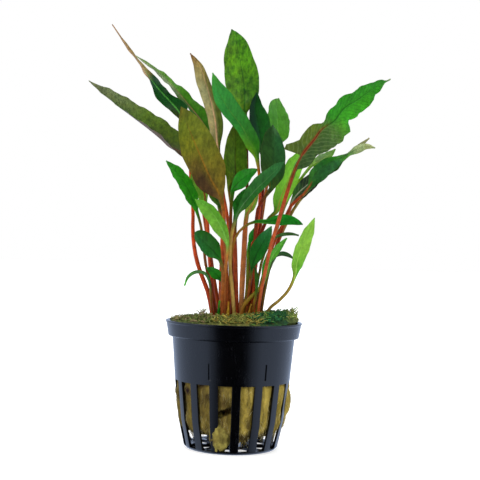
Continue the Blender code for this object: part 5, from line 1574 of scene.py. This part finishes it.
def build_camera():
    """The view at the height of the leaves' middle, tilted as the photograph is."""
    right = Vector((1.0, 0.0, 0.0))
    up = Vector((0.0, -math.sin(VIEW_PITCH), math.cos(VIEW_PITCH)))
    ahead = Vector((0.0, math.cos(VIEW_PITCH), math.sin(VIEW_PITCH)))
    across = right * math.cos(VIEW_ROLL) + up * math.sin(VIEW_ROLL)
    above = up * math.cos(VIEW_ROLL) - right * math.sin(VIEW_ROLL)
    data = bpy.data.cameras.new("view")
    data.sensor_width = SENSOR_WIDTH
    data.lens = VIEW_FOCAL * SENSOR_WIDTH / VIEW_SIZE
    data.clip_start = 0.01
    camera = new_object("view", data)
    axes = Matrix((across, above, -ahead)).transposed().to_4x4()
    camera.matrix_world = Matrix.Translation(VIEW_EYE * MM) @ axes
    bpy.context.scene.camera = camera


def build_floor():
    """A pale floor that glows more and more away from the pot, until it meets the white backdrop."""
    mesh = bpy.data.meshes.new("floor")
    corners = [(x * FLOOR_HALF, y * FLOOR_HALF, 0) for x, y in ((-1, -1), (1, -1), (1, 1), (-1, 1))]
    mesh.from_pydata(corners, [], [(0, 1, 2, 3)])
    floor = new_object("floor", mesh)
    material, tree, shader = new_material("floor_paint")
    grain = noise_value(tree, scaled_place(tree), 40.0)
    tree.links.new(spread(tree, grain, 0.6, 0.7), shader.inputs["Roughness"])
    shader.inputs["Base Color"].default_value = (0.8, 0.8, 0.8, 1)
    shader.inputs["Emission Color"].default_value = (1, 1, 1, 1)
    apart = add(tree, "VectorMath", {0: scaled_place(tree)}, operation="LENGTH").outputs["Value"]
    tree.links.new(stretch(tree, apart, *FLOOR_FADE, FLOOR_GLOW, 1.0), shader.inputs["Emission Strength"])
    mesh.materials.append(material)
    floor.visible_glossy = False


def build_studio():
    """A white studio: soft light from both sides and a dark front that the pot reflects."""
    world = bpy.data.worlds.new("studio")
    world.use_nodes = True
    tree = world.node_tree
    x, y, z = add(tree, "SeparateXYZ", {0: add(tree, "TexCoord").outputs["Generated"]}).outputs
    sides = stretch(tree, maths(tree, "ABSOLUTE", x), 0.42, 0.8)
    back = stretch(tree, y, 0.0, 0.5)
    over = stretch(tree, z, 0.45, 0.85)
    bright = maths(tree, "MAXIMUM", sides, maths(tree, "MAXIMUM", back, over))
    mirrored = mixed(tree, bright, *MIRRORED)
    ambient = mixed(tree, bright, *AMBIENT)
    path = add(tree, "LightPath").outputs
    colour = mixed(tree, path["Is Glossy Ray"], ambient, mirrored)
    colour = mixed(tree, path["Is Camera Ray"], colour, (1, 1, 1, 1))
    shown = tree.nodes["Background"]
    tree.links.new(colour, shown.inputs["Color"])
    shown.inputs["Strength"].default_value = 1.0
    bpy.context.scene.world = world

    for name, values in LIGHTS.items():
        add_area(name, *values).visible_glossy = name != "front"
    bpy.context.scene.view_settings.view_transform = "Standard"


build_camera()
build_floor()
build_studio()
build_pot()
build_wool()
build_moss()
build_leaves()
